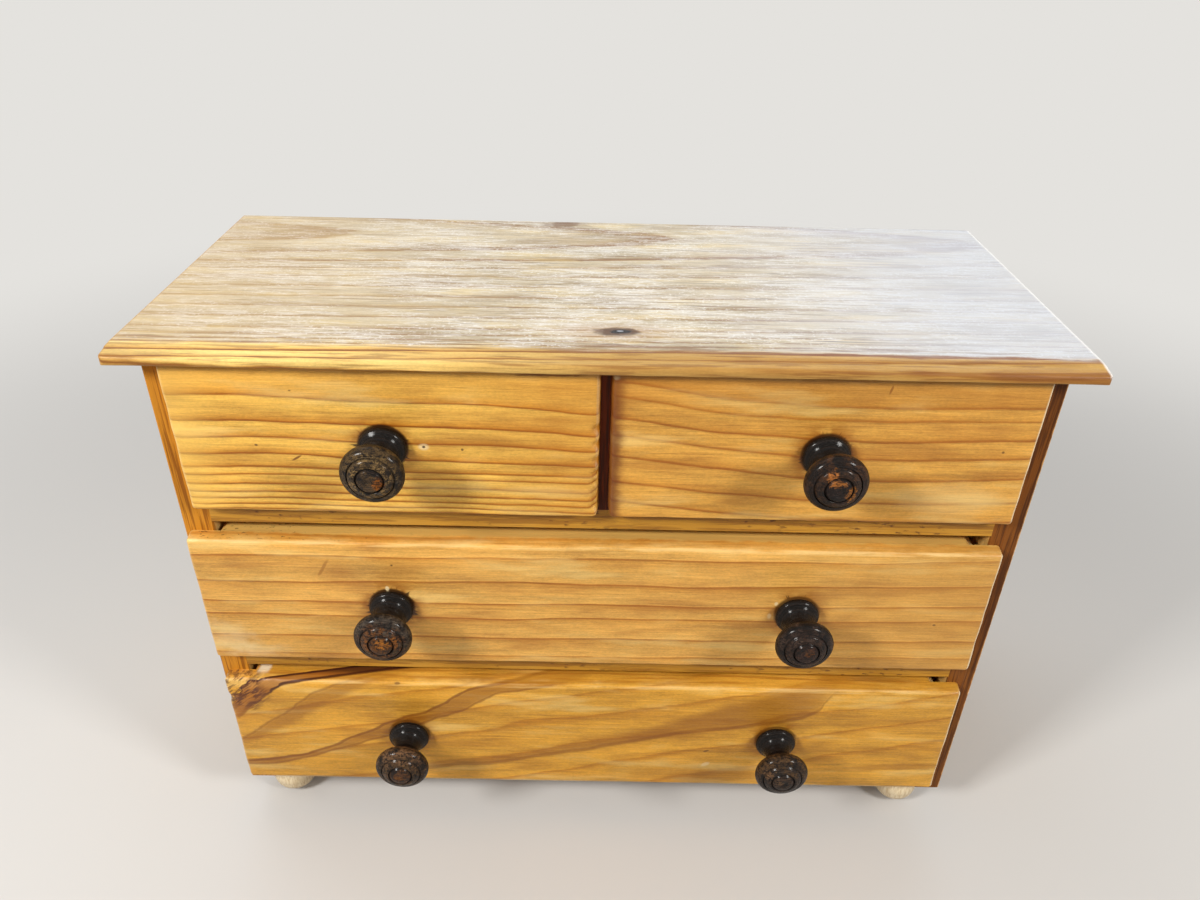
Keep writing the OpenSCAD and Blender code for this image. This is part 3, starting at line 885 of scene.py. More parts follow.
def top_left_pine():
    """Golden pine whose rings crowd together towards its foot."""
    face = Face("top_left")
    tint = colours()
    rings = face.rings_down((296, 0.4), (279.6, 0.8), (267.4, 0.9), (258.6, 0.85), (250, 0.85),
        (243.4, 0.8), (239.6, 0.75), (234.4, 0.85), (230, 0.8), (226.4, 0.75), (223, 0.7), (220, 0.7),
        (217, 0.7), (213.5, 0.6))
    bend = face.bend([(-195, 0), (-170, 1), (-153, 1.4), (-120, 0), (-97, -1.2), (-50, -2.6), (-20, -4.8),
        (0, -7)], level=0.25)
    marks = [
        # painted light towards the left end
        (srgb(250, 204, 104), 0.4, face.zone("left", 26, 2)),
        # painted shade under the top board's overhang
        (srgb(178, 110, 24), 0.28, face.zone("top", 20, 4)),
        # painted shade towards the right end
        (srgb(186, 112, 30), 0.35, face.zone("right", 60, 4)),
        *face.varnish_edges(top=0.4, arris_highlight=0.25, left=0.5, right=0.2),
        *face.grime("knob_top_left", drips=0.9, halo=0.45),
        (DARK_SPECK, 0.8, face.oval((-154, 252.4), (0.7, 0.5))),
        (DARK_SPECK, 0.8, face.oval((-63, 252), (0.6, 0.6))),
        (DARK_SPECK, 0.6, face.oval((-135, 280), (0.6, 0.4))),
        (srgb(110, 58, 20), 0.85, face.oval((-137, 246), (2.6, 0.5), turn=32)),
        (CHIP, 0.7, face.oval((-80, 253), (2.2, 1.6))),
        (DARK_SPECK, 0.9, face.oval((-80, 253), (0.7, 0.6))),
        (srgb(110, 50, 18), 0.75, face.oval((-24, 290.4), (14, 1.3), ragged=1.4)),
    ]
    return pine("pine_top_left_front", face.centre, "XZY", rings, (tint.pale, tint.gold, tint.line),
        bend=bend, warp=(0.8, 0.32), soft=0.4, slope=0.5, marks=marks)


def top_right_pine():
    """Even, slightly redder pine with a dark stain at its left end."""
    face = Face("top_right")
    rings = face.rings_down((300, 0.3), (289, 0.6), (282, 0.5), (272, 0.75), (263, 0.7), (252, 0.75),
        (239, 0.7), (228, 0.7), (218, 0.5), (207, 0.4))
    bend = face.bend([(0, 0.5), (39, -4.5), (79, -8), (110, -9.5), (140, -10), (195, -8)])
    marks = [
        (srgb(106, 48, 12), 0.85, along("u", -86, -92.5, ripple=5)),
        # painted shade under the top board's overhang
        (srgb(146, 84, 14), 0.4, face.zone("top", 24, 4)),
        *face.varnish_edges(top=0.7, arris_highlight=0.2, left=0.0, right=0.9),
        *face.grime("knob_top_right", drips=0.8, halo=0.5),
        (CHIP, 0.5, face.oval((3.4, 289.5), (2.2, 1.4))),
        (srgb(130, 72, 24), 0.7, face.oval((121, 286), (0.5, 2.2), turn=-14)),
        (DARK_SPECK, 0.7, face.oval((176, 256), (0.6, 0.6))),
        (srgb(230, 196, 130), 0.35, face.oval((158, 230), (22, 9))),
    ]
    return pine("pine_top_right_front", face.centre, "XZY", rings,
        palette((222, 166, 76), (200, 138, 52), (150, 84, 26)), bend=bend, warp=(0.9, 0.3), soft=0.9,
        line=1.7, slope=0.4, marks=marks)


def middle_pine():
    """Wide-ringed pine with a raw strip behind its top edge, whose rings end upwards."""
    face = Face("middle")
    middle = face.centre.z * IN_MM
    rings = [(height - middle, dark) for height, dark in ((113, 0.3), (125, 0.4), (137, 0.7), (150.2, 0.75),
        (159.4, 0.75), (172.6, 0.7), (188, 0.65), (198.4, 0.5), (212, 0.3))]
    down = face.bend([(-200, 0), (0, 1.2), (60, 1.6), (120, 2.4), (195, 4.2)])
    on_top = face.zone("top", 1.0, 0.2)
    marks = [
        # painted shade towards the right end
        (srgb(196, 142, 66), 0.35, face.zone("right", 150, 20)),
        *face.varnish_edges(top=0.25, arris_highlight=0.45, left=0.3, right=0.9),
        (srgb(208, 168, 90), 0.85, within(on_top, along("w", -1.6, 0.6, ripple=4))),
        (srgb(70, 50, 26), 0.7,
            within(on_top, patches((2.5, 2, 1.2), 0.62, 0.7, roughness=0.5), along("u", -60, -150))),
        *face.grime("knob_middle_left", drips=0.85, halo=0.5),
        *face.grime("knob_middle_right", drips=0.6, halo=0.35),
        (DARK_SPECK, 0.8, face.oval((-101, 185.6), (0.6, 0.5))),
        (DARK_SPECK, 0.7, face.oval((167, 154), (0.7, 0.6))),
        (CHIP, 0.35, face.oval((-188, 137), (9, 8), ragged=2.0, edge=0.9)),
        (CHIP, 0.35, face.oval((-176, 129), (12, 4), ragged=2.0, edge=0.9)),
        (srgb(140, 80, 26), 0.5, face.oval((-134, 183.5), (5, 0.8), turn=60, ragged=1.6)),
        (srgb(160, 98, 34), 0.35, face.oval((-128, 180), (7, 4), ragged=1.6, edge=0.8)),
        (CHIP, 0.9, face.oval((-104.5, 171), (0.9, 1.5))),
        (CHIP, 0.8, face.oval((86.5, 166), (0.9, 1.1), ragged=1.2)),
        (CHIP, 0.5, face.oval((84, 158), (1.0, 1.7), ragged=1.2)),
    ]
    return pine("pine_middle_front", face.centre, "XZY", rings,
        palette((228, 174, 88), (206, 146, 62), (158, 92, 34)), bend=lambda at: 0 - down(at),
        warp=(1.0, 0.3), soft=0.8, line=1.6, slope=0.4, marks=marks)


# Edges of the dark figure that climbs across the bottom front, as points (x, z).
FIRST_BAND = (
    [(-200, 43), (-174, 47), (-160, 51), (-140, 61), (-120, 72), (-106, 80), (-92, 85.5), (-80, 94),
        (-70, 102), (-50, 107.5), (-24, 111)],
    [(-200, 40.5), (-174, 43.5), (-150, 52), (-130, 60), (-112, 68), (-90, 79), (-80, 83.5), (-70, 89),
        (-56, 99), (-40, 103), (-24, 106)])
UPPER_BAND = (
    [(-200, 60), (-184, 71), (-164, 86), (-154, 96), (-140, 104), (-120, 110)],
    [(-200, 57), (-184, 64), (-160, 78), (-150, 87), (-134, 97), (-120, 104)])
SECOND_BAND = (
    [(-96, 44), (-60, 50), (-20, 60), (0, 66), (30, 76), (60, 90), (90, 102), (122, 110)],
    [(-96, 40), (-80, 43.5), (-60, 45), (-40, 50), (-20, 55), (0, 60), (40, 71), (80, 78), (100, 82.5),
        (112, 87), (119, 93), (124, 104)])
SCAR = (
    [(-200, 84), (-196, 92), (-190, 103.5), (-180, 109), (-168, 111), (-150, 113)],
    [(-196, 79), (-186, 88), (-180, 94), (-170, 103), (-160, 107), (-142, 110.5), (-120, 113)])


def torn_fibres(at):
    """Short streaks that lean with the torn grain of the scar."""
    leaning = at.recipe.vector(at.u + at.v, at.v - at.u * 0.8, at.w)
    return at.recipe.noise(leaning, (16, 2.2, 3), detail=4, roughness=0.6).step(0.44, 0.56)


def scar_marks(face, brown):
    """The bark scar at the upper left corner of the bottom front."""
    deep = srgb(60, 24, 14)
    lean = 5
    upper, lower = SCAR
    high_up = face.zone("top", 18, 6)
    on_top = face.zone("top", 1.0, 0.2)
    far_back = along("w", -3, 1)
    return [
        (srgb(150, 80, 26), 0.7, face.ribbon(upper, lower, soft=2, lean=lean)),
        (brown, 0.8, face.stroke(lower, 2.2, lean=lean)),
        (brown, 0.8, face.stroke(upper, 3.0, lean=lean)),
        (deep, 0.85, within(face.stroke(lower, 2.0, lean=lean), high_up)),
        (deep, 0.9, within(face.stroke(upper, 2.6, lean=lean), high_up)),
        (deep, 0.8, within(face.ribbon(upper, lower, soft=0.8, lean=lean), on_top, far_back)),
        (srgb(76, 32, 20), 0.85, within(face.oval((-189, 98), (12, 12)), torn_fibres)),
        (srgb(226, 160, 78), 0.35, within(face.oval((-184, 105), (9, 4)), torn_fibres)),
        (srgb(242, 224, 190), 0.9, within(face.oval((-178, 108), (2.8, 3), ragged=1.4), on_top, far_back)),
    ]


def bottom_pine():
    """Faint wide rings under a dark figure that climbs to the right, with a bark scar at one corner."""
    face = Face("bottom")
    brown = srgb(142, 84, 26)
    line = srgb(120, 64, 18)
    marks = [
        (brown, 0.62, face.ribbon(*FIRST_BAND, soft=2.2)),
        (line, 0.7, face.stroke(FIRST_BAND[0], 1.5)),
        (line, 0.5, face.stroke(FIRST_BAND[1], 1.3)),
        (brown, 0.5, face.ribbon(*UPPER_BAND, soft=3)),
        (line, 0.4, face.stroke(UPPER_BAND[0], 1.4)),
        (brown, 0.6, face.ribbon(*SECOND_BAND, soft=4, fade=14)),
        (line, 0.5, face.stroke(SECOND_BAND[1], 2.2, fade=14)),
        (brown, 0.4, face.oval((165, 47), (34, 2.4), turn=4, ragged=1.2)),
        # painted shadow of the bottom right knob, falling down and to the left
        (brown, 0.4, face.oval((60, 38), (40, 6), turn=2, ragged=1.2, edge=0.8)),
        *face.varnish_edges(top=0.5, arris_highlight=0.35, left=0.25, right=0.8),
        *scar_marks(face, brown),
        *face.grime("knob_bottom_left", drips=0.35, halo=0.35),
        *face.grime("knob_bottom_right", drips=0.35, halo=0.45),
        (DARK_SPECK, 0.7, face.oval((60.6, 58), (1.6, 0.6), turn=20)),
        (DARK_SPECK, 0.6, face.oval((-106, 105.5), (1.4, 0.5))),
        (CHIP, 0.6, face.oval((61, 47), (2.6, 1.3), turn=30, ragged=1.2)),
    ]
    rings = [(-70, 0.3), (-44, 0.2), (-26, 0.25), (-8, 0.15), (14, 0.25), (30, 0.2), (52, 0.25), (80, 0.2)]
    return pine("pine_bottom_front", face.centre, "XZY", rings,
        palette((222, 164, 60), (198, 134, 38), (140, 82, 24)), bend=lambda at: at.v - at.u * 0.22,
        warp=(3.0, 0.8), soft=3.0, line=2.6, slope=0.6, marks=marks)


class CHEST_OT_drawer_fronts(bpy.types.Operator):
    """Models the four worn, lipped drawer fronts and gives each its own pine"""

    bl_idname = "chest.drawer_fronts"
    bl_label = "Drawer Fronts"

    def execute(self, context):
        woods = {"top_left": top_left_pine, "top_right": top_right_pine, "middle": middle_pine,
            "bottom": bottom_pine}
        for name in DRAWERS:
            piece = front_shape(name)
            dress(piece.name, woods[name]())
            stand_for(piece, "front_" + name)
        return {"FINISHED"}


# ---------------------------------------------------------------- top board


def top_shape():
    """The thin top, whose upper face falls away to a small rounded nose."""
    low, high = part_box("top_board")
    fall = 1.3 * MM
    board = cuboid("dressed_top_board", low, high)
    edit(board, lambda: bpy.ops.mesh.bisect(plane_co=(0, CASE_FRONT, 0), plane_no=(0, 1, 0)))
    edit(board, lambda: bpy.ops.transform.translate(value=(0, 0, -fall)),
        vertices=lambda co: co.y < low.y + MM and co.z > high.z - MM)

    def share(a, b):
        corner = abs(a.z - b.z) > 2 * MM and abs(a.x) > high.x - MM
        front = max(a.y, b.y) < low.y + MM
        back = min(a.y, b.y) > high.y - MM
        end = min(abs(a.x), abs(b.x)) > high.x - MM and a.x * b.x > 0
        upper = min(a.z, b.z) > (low.z + high.z) / 2
        if corner and (front or back):
            return 1.0
        if front:
            return 0.72 if upper else 0.4
        return 0.4 if (end or back) and not corner else 0.0

    round_edges(board, 2.5 * MM, share)
    subdivide_along(board, "X", 99, 50 * MM)
    subdivide_along(board, "Y", 50, 50 * MM)
    curve_the_fall(board, low, high, fall)

    def nose(co):
        return max(0.0, 1 - (co.y - low.y) / (9 * MM)) if co.z < high.z - 0.3 * MM else 0.0

    wear(board, nose, 22 * MM, 0.7 * MM)
    smooth(board)
    return board


def curve_the_fall(board, low, high, fall):
    """Cuts the flat fall in front of the case into rows and lifts them into a curve."""
    rows = 8
    front = low.y + 2.6 * MM  # just behind the rounding of the nose

    def on_fall(a, b):
        run = b - a
        across = abs(run.x) < MM / 100 and abs(run.y) > 8 * MM
        return across and min(a.y, b.y) < front and max(a.y, b.y) < CASE_FRONT + MM

    edit(board, lambda: bpy.ops.mesh.subdivide(number_cuts=rows - 1), edges=on_fall)
    for row in range(1, rows + 1):
        y = CASE_FRONT - (CASE_FRONT - front) * row / rows
        share = (CASE_FRONT - y) / (CASE_FRONT - low.y)
        lift = fall * (share - share * share)
        edit(board, lambda: bpy.ops.transform.translate(value=(0, 0, lift)),
            vertices=lambda co: abs(co.y - y) < 0.4 * MM and co.z > high.z - fall - MM
            and abs(co.x) < high.x - 0.5 * MM)


TOP_RINGS = [(33, 0.5), (47, 0.6), (56, 0.9), (64.7, 1.0), (72, 0.5), (81, 0.6), (92, 0.6), (103, 0.6),
    (113.6, 0.7), (124.4, 0.75), (136, 0.8), (141.6, 0.7), (146.4, 0.8), (150.5, 0.8), (156, 0.9),
    (160.5, 0.9), (166, 0.9)]


def top_rings(at, front):
    """Rings of the top: long ovals that point to the right, nested about a line behind the front."""
    heart = front + 142
    flare = at.u * 0.05 + 52
    ahead = at.v - heart
    depth = (ahead * ahead + flare * flare).root() + at.w * 0.6
    depth = depth + at.swell((120, 20, 20), 0.5, detail=1)
    depth = depth + at.swell((30, 5, 5), 0.4, detail=2)
    return ring_values(at.recipe, depth, TOP_RINGS, 0.8)


def knot_marks(at, front):
    """A dark knot behind the nose with a painted glint, a notch at the back, and the masks of the knot's eye
    and pupil.
    """

    def oval(x, behind, size, ragged, edge):
        return at.recipe.spot(at.u, at.v, (x, front + behind), size, 0, ragged, edge, at.ripple)

    eye = oval(4.5, 19, (9.5, 4.0), 0.8, 0.3)
    pupil = oval(6.0, 19, (4.6, 2.1), 0.8, 0.2)
    marks = [
        (srgb(176, 130, 76), oval(4.5, 19, (22, 8), 0.5, 0.7) * 0.4),
        (srgb(84, 54, 36), eye * 0.9),
        (srgb(28, 22, 26), pupil),
        # painted glint on the knot
        (srgb(176, 180, 190), oval(5.6, 19.6, (1.5, 0.6), 1.2, 0.3)),
        (srgb(112, 72, 40), oval(-24, 164.5, (11, 4.6), 1.6, 0.6) * 0.75),
    ]
    return marks, eye, pupil


def washed_and_glare_pine():
    """The top's pine: ring ovals that point to the right, pale from wear and from painted glare, with a
    golden nose.
    """
    low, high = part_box("top_board")
    centre = (low + high) / 2
    front = (CASE_FRONT - centre.y) * IN_MM
    end = (high.x - centre.x) * IN_MM
    recipe = Recipe("pine_washed_top", coat=0.1, coat_roughness=0.3, specular=0.25)
    at = Place(recipe, centre, "XYZ")
    late, width, dark = top_rings(at, front)
    thread = at.noise((26, 0.9, 0.9), detail=3, roughness=0.65)
    # the pale palette stands partly for weathering and partly for painted reflection of bright light on the
    # top
    washed = wood_colour(recipe, late, width, dark * 0.8,
        palette((208, 194, 166), (186, 162, 124), (142, 100, 62)), 2.4, thread)
    golden = wood_colour(recipe, late, width, dark,
        palette((250, 212, 124), (214, 156, 66), (118, 62, 18)), 1.3, thread)
    edge = at.v + (at.noise((26, 8, 8), detail=3, roughness=0.6) - 0.5) * 7
    to_nose = edge.step(front + 3, front - 3)
    bare = 1 - to_nose
    colour, long, _, broad = fibres(at, recipe.mix(washed, golden, to_nose), srgb(120, 82, 46), 0.8)

    streak = at.noise((74, 1.9, 2), detail=3, roughness=0.6)
    hair = at.noise((34, 1.1, 1.2), detail=2, roughness=0.6)
    pale = at.noise((12, 1.3, 1.4), detail=4, roughness=0.75)
    sparkle = at.noise((1.7, 1.6, 1.6), detail=2, roughness=0.7)
    rubbed = at.noise((50, 16, 16), detail=3, roughness=0.6)
    at.ripple = at.noise((5, 3, 3), detail=3)
    seam = at.noise((34, 2.4, 1.6), detail=3).step(0.5, 0.62)
    sides = at.u + (broad - 0.5) * 160
    upper_line = 1 - abs(edge - front + 0.6).step(0.4, 1.6)
    knot, eye, pupil = knot_marks(at, front)
    rubbed_white = (pale + (rubbed - 0.5) * 0.5).step(0.46, 0.64) * bare
    sparkling = sparkle.step(0.55, 0.66) * rubbed.step(0.36, 0.56) * bare
    colour = recipe.layers(colour, [
        (srgb(248, 246, 242), rubbed_white * 0.55),
        # white specks in the rubbed patches: worn varnish with a painted sparkle of light
        (srgb(252, 250, 246), sparkling * 0.5),
        (srgb(134, 98, 62), streak.step(0.6, 0.67) * (bare * 0.6 + 0.1)),
        (srgb(100, 70, 46), hair.step(0.64, 0.71) * (bare * 0.6 + 0.1)),
        (srgb(206, 172, 112), sides.step(-40, -230) * bare * 0.4),
        # painted reflection of a cool bright window on the right of the top
        (srgb(202, 210, 224), sides.step(20, 190) * bare * 0.65),
        # painted shade on the nose towards the right
        (srgb(152, 102, 44), sides.step(-130, 20) * to_nose * 0.65),
        (srgb(116, 62, 24), seam * edge.step(front + 9, front + 3) * 0.45),
        (srgb(122, 62, 22), upper_line * at.u.step(-40, 40) * thread.step(0.38, 0.5) * 0.75),
        *knot,
        # painted highlight along the rounded right end
        (srgb(252, 250, 246), at.u.step(end - 2.2, end - 0.8) * at.w.step(-0.5, 1.5) * 0.8),
        (srgb(190, 140, 76), at.u.step(1.6 - end, 0.6 - end) * 0.6),
    ])
    height = late * 0.4 + streak * 0.7 + pale * 0.9 - eye * 2
    rough = 0.46 + (long - 0.5) * 0.16 + pale.step(0.5, 0.68) * 0.12 - pupil * 0.25
    return recipe.finish(colour, rough, height, depth=0.35)


class CHEST_OT_top_board(bpy.types.Operator):
    """Models the thin overhanging top and gives it weathered pine"""

    bl_idname = "chest.top_board"
    bl_label = "Top Board"

    def execute(self, context):
        piece = top_shape()
        dress(piece.name, washed_and_glare_pine())
        stand_for(piece, "top_board")
        return {"FINISHED"}


# ---------------------------------------------------------------- case

# The right panel's dark front edge is painted shade, and its arris share is a painted highlight; the
# divider's near-black front edge is partly dark stain and partly painted shade in the slot between the top
# fronts.
UPRIGHTS = {
    "side_panel_left": {"woods": palette((226, 180, 104), (206, 154, 78), (156, 100, 44)),
        "edge": srgb(206, 136, 36), "streak": srgb(116, 58, 12), "arris_highlight": 0.0},
    "side_panel_right": {"woods": palette((222, 174, 98), (202, 148, 72), (150, 94, 40)),
        "edge": srgb(124, 68, 18), "streak": srgb(60, 28, 10), "arris_highlight": 0.8},
    "centre_divider": {"woods": palette((200, 140, 60), (176, 114, 42), (110, 60, 20)),
        "edge": srgb(110, 38, 2), "streak": srgb(36, 10, 2), "arris_highlight": 0.0},
}


def front_edge(half, start, full):
    """A mask over the front edge of a board that reaches half its depth from its middle."""
    return along("v", start - half, full - half, ripple=1.2)


def upright_pine(node, seed, woods, edge, streak, arris_highlight):
    """Varnished pine with an upright grain and a darker front edge, streaked down its length.

    The arris share is how bright the painted highlight on the right-hand corner of the front edge is.
    """
    low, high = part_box(node)
    half = (high.y - low.y) / 2 * IN_MM
    side = (high.x - low.x) / 2 * IN_MM
    rings = even_rings(-half - 12 - seed, half + 20, (17, 11, 24, 9, 15, 29, 12), (0.5, 0.7, 0.4, 0.8))
    on_edge = front_edge(half, 1.8, 0.6)
    marks = [
        (edge, 0.95, on_edge),
        (streak, 0.7, within(patches((46, 2, 1.6), 0.46, 0.62, roughness=0.65), on_edge)),
        # painted highlight on the right-hand corner of the front edge
        (srgb(236, 178, 104), arris_highlight, within(along("w", side - 1.1, side - 0.3, ripple=1.6), on_edge)),
    ]
    return pine("pine_" + node, middle_of(node), "ZYX", rings, woods, warp=(4.5, 0.5), soft=0.9, line=2.2,
        slope=1.6, coat=0.04, specular=0.15, roughness=0.5, marks=marks, strength=0.8)


def rail_pine(level, seed):
    """Varnished pine along X for a shelf, with streaks and specks of stain on its front edge."""
    node = "shelf_" + level
    low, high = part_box(node)
    half = (high.y - low.y) / 2 * IN_MM
    rings = even_rings(-half - 8 - seed, half + 14, (12, 16, 10, 14), (0.5, 0.7, 0.6))
    on_edge = front_edge(half, 1.6, 0.5)
    marks = [
        (srgb(192, 140, 42), 0.85, on_edge),
        (srgb(130, 80, 22), 0.6, within(patches((40, 2, 2), 0.46, 0.6, roughness=0.65), on_edge)),
        (srgb(70, 30, 16), 0.75, within(patches((5, 2, 2), 0.58, 0.7, roughness=0.5),
            patches((40, 20, 20), 0.45, 0.6, detail=1, roughness=0.5), on_edge)),
    ]
    return pine("pine_rail_" + level, middle_of(node), "XYZ", rings,
        palette((212, 156, 72), (190, 130, 50), (136, 78, 28)), warp=(2.0, 0.5), soft=0.9, line=1.8,
        slope=0.9, marks=marks)


def bare_pine(name, node, grain, seed=0, widths=(7, 10, 6, 9)):
    """Unvarnished pine for the pieces inside, laid out on one node, which like pieces share."""
    low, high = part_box(node)
    across = AXES[grain[1]]
    half = (high[across] - low[across]) / 2 * IN_MM
    rings = even_rings(-half - 20 - seed, half + 40, widths, (0.45, 0.6, 0.35))
    return pine(name, middle_of(node), grain, rings,
        palette((232, 204, 156), (216, 178, 122), (176, 126, 74)), warp=(2.6, 0.4), soft=0.7, line=1.6,
        slope=0.7, coat=0.0, roughness=0.68, relief=0.2)


def thin_ply(name, node, grain):
    """Rotary-cut veneer: wide flame-shaped figure on a thin board."""
    reach = 50
    rings = even_rings(-62, 62, (10, 13, 8, 15, 11), (0.3, 0.45, 0.25))
    return pine(name, middle_of(node), grain, rings,
        palette((226, 198, 152), (212, 178, 128), (184, 142, 92)),
        bend=lambda at: at.noise((420, 64, 64), detail=1) * (2 * reach) - reach,
        warp=(0.8, 0.5), soft=1.4, line=2.6, slope=0.0, coat=0.0, roughness=0.62, relief=0.15)


class CHEST_OT_case_boards(bpy.types.Operator):
    """Gives the side panels, shelves, divider, guides, bottom and back their woods"""

    bl_idname = "chest.case_boards"
    bl_label = "Case Boards"

    def execute(self, context):
        for count, (node, woods) in enumerate(UPRIGHTS.items()):
            dress(node, upright_pine(node, 3 * count, **woods))
        for count, level in enumerate(("upper", "lower")):
            dress("shelf_" + level, rail_pine(level, 4 * count))
        dress("bottom_board", bare_pine("pine_bottom_board", "bottom_board", "XYZ", widths=(14, 18, 12)))
        dress("back_panel", thin_ply("ply_back", "back_panel", "XZY"))
        guides = [name for name in frame["nodes"] if name.startswith("guide_")]
        strip = bare_pine("pine_guides", guides[0], "YZX", widths=(3, 4))
        for name in guides:
            dress(name, strip)
        return {"FINISHED"}


class CHEST_OT_drawer_boxes(bpy.types.Operator):
    """Gives the drawer sides, backs and bottoms bare pine and ply"""

    bl_idname = "chest.drawer_boxes"
    bl_label = "Drawer Boxes"

    def execute(self, context):
        for count, name in enumerate(DRAWERS):
            left, right, back = "side_left_" + name, "side_right_" + name, "back_" + name
            wood = bare_pine("pine_drawer_sides_" + name, left, "YZX", seed=3 * count)
            dress(left, wood)
            dress(right, wood)
            dress(back, bare_pine("pine_drawer_" + back, back, "XZY", seed=count))
            dress("floor_" + name, thin_ply("ply_floor_" + name, "floor_" + name, "XYZ"))
        return {"FINISHED"}


# ---------------------------------------------------------------- knobs and feet


def cove_between(lower, lower_r, upper, upper_r, neck):
    """Centre and radius of the hollow that touches two round beads and leaves a neck of a given radius.

    The hollow's centre is neck + radius from the axis. Its distances to the two beads' centres give two
    equations, and taking one from the other leaves a quadratic for the height of its centre.
    """
    lower_in, upper_in = neck - lower[0], neck - upper[0]
    p, q = lower_r - lower_in, upper_r - upper_in
    a = q - p
    b = -2 * (q * lower[1] - p * upper[1])
    c = q * lower[1] ** 2 - p * upper[1] ** 2 - p * q * (lower_in + lower_r - upper_in - upper_r)
    height = (-b + math.sqrt(b * b - 4 * a * c)) / (2 * a)
    radius = (height - lower[1]) ** 2 / (2 * p) - (lower_in + lower_r) / 2
    return (neck + radius, height), radius


def angle_between(centre, other):
    return math.degrees(math.atan2(other[1] - centre[1], other[0] - centre[0]))


def knob_profile():
    """Flange bead, cove, rim, grooved crown and boss, as (radius, height) from the back of the knob."""
    bead, bead_r = (8.8, 2.0), 2.0
    rim, rim_r = (9.8, 21.6), 4.1
    cove, cove_r = cove_between(bead, bead_r, rim, rim_r, neck=6.25)
    bead_end, rim_start = angle_between(bead, cove), angle_between(rim, cove)
    crown = [(10.65, 25.45), (10.3, 25.1), (9.95, 25.35), (9.6, 26.3), (9.2, 26.75), (8.4, 27.2),
        (7.4, 27.65), (6.6, 27.85), (6.2, 27.6), (5.9, 27.2), (5.6, 27.55), (5.3, 28.2), (4.9, 28.55),
        (3.6, 28.8), (1.8, 28.9), (0.7, 28.6), (0, 28.5)]
    points = [(0, 0), (4, 0), (8.8, 0)]
    points += arc(bead, bead_r, -90, bead_end, 10)[1:]
    points += arc(cove, cove_r, bead_end + 180, rim_start + 180, 18)[1:-1]
    points += arc(rim, rim_r, rim_start, 84, 16)
    return [(r * MM, h * MM) for r, h in points + crown]


# Rubbed colours of each knob, and patches as (x, z, half width, half height, colour) from its middle.
KNOB_TINTS = {
    "knob_top_left": {"head": (96, 74, 44), "low": (72, 66, 58), "ring": (138, 110, 68),
        "boss": (88, 66, 40), "patches": ((3.7, -1.1, 2.2, 2.8, (142, 80, 18)),)},
    "knob_top_right": {"head": (82, 52, 30), "low": (58, 44, 42), "ring": (58, 38, 24),
        "boss": (34, 22, 18), "patches": ((-3.2, 5.4, 2.2, 3.2, (176, 108, 50)),
            (-0.6, 3.4, 3.0, 1.3, (150, 92, 38)), (5.2, -1.6, 2.0, 3.6, (158, 98, 38)))},
    "knob_middle_left": {"head": (92, 80, 68), "low": (90, 70, 44), "ring": (112, 68, 30),
        "boss": (104, 62, 22), "patches": ((1.0, 1.6, 3.0, 2.4, (176, 108, 34)),
            (6.5, 2.0, 1.6, 3.4, (140, 84, 32)), (-6.4, 0.4, 1.4, 3.0, (128, 78, 34)))},
    "knob_middle_right": {"head": (74, 56, 46), "low": (58, 44, 38), "ring": (54, 36, 26),
        "boss": (60, 36, 26), "patches": ((0.6, 1.2, 2.4, 2.0, (100, 60, 30)),)},
    "knob_bottom_left": {"head": (134, 98, 66), "low": (90, 66, 42), "ring": (88, 64, 38),
        "boss": (92, 56, 26), "patches": ((-0.6, 0.4, 2.6, 2.2, (116, 70, 28)),)},
    "knob_bottom_right": {"head": (100, 72, 42), "low": (52, 44, 44), "ring": (62, 50, 42),
        "boss": (72, 54, 42), "patches": ((-8.0, 5.0, 2.4, 2.6, (112, 82, 56)),
            (-2.0, 1.0, 2.0, 1.4, (104, 78, 54)))},
}
RING_GROOVE, BOSS_GROOVE = 10.3, 5.9  # radii of the two grooves turned in a knob's front


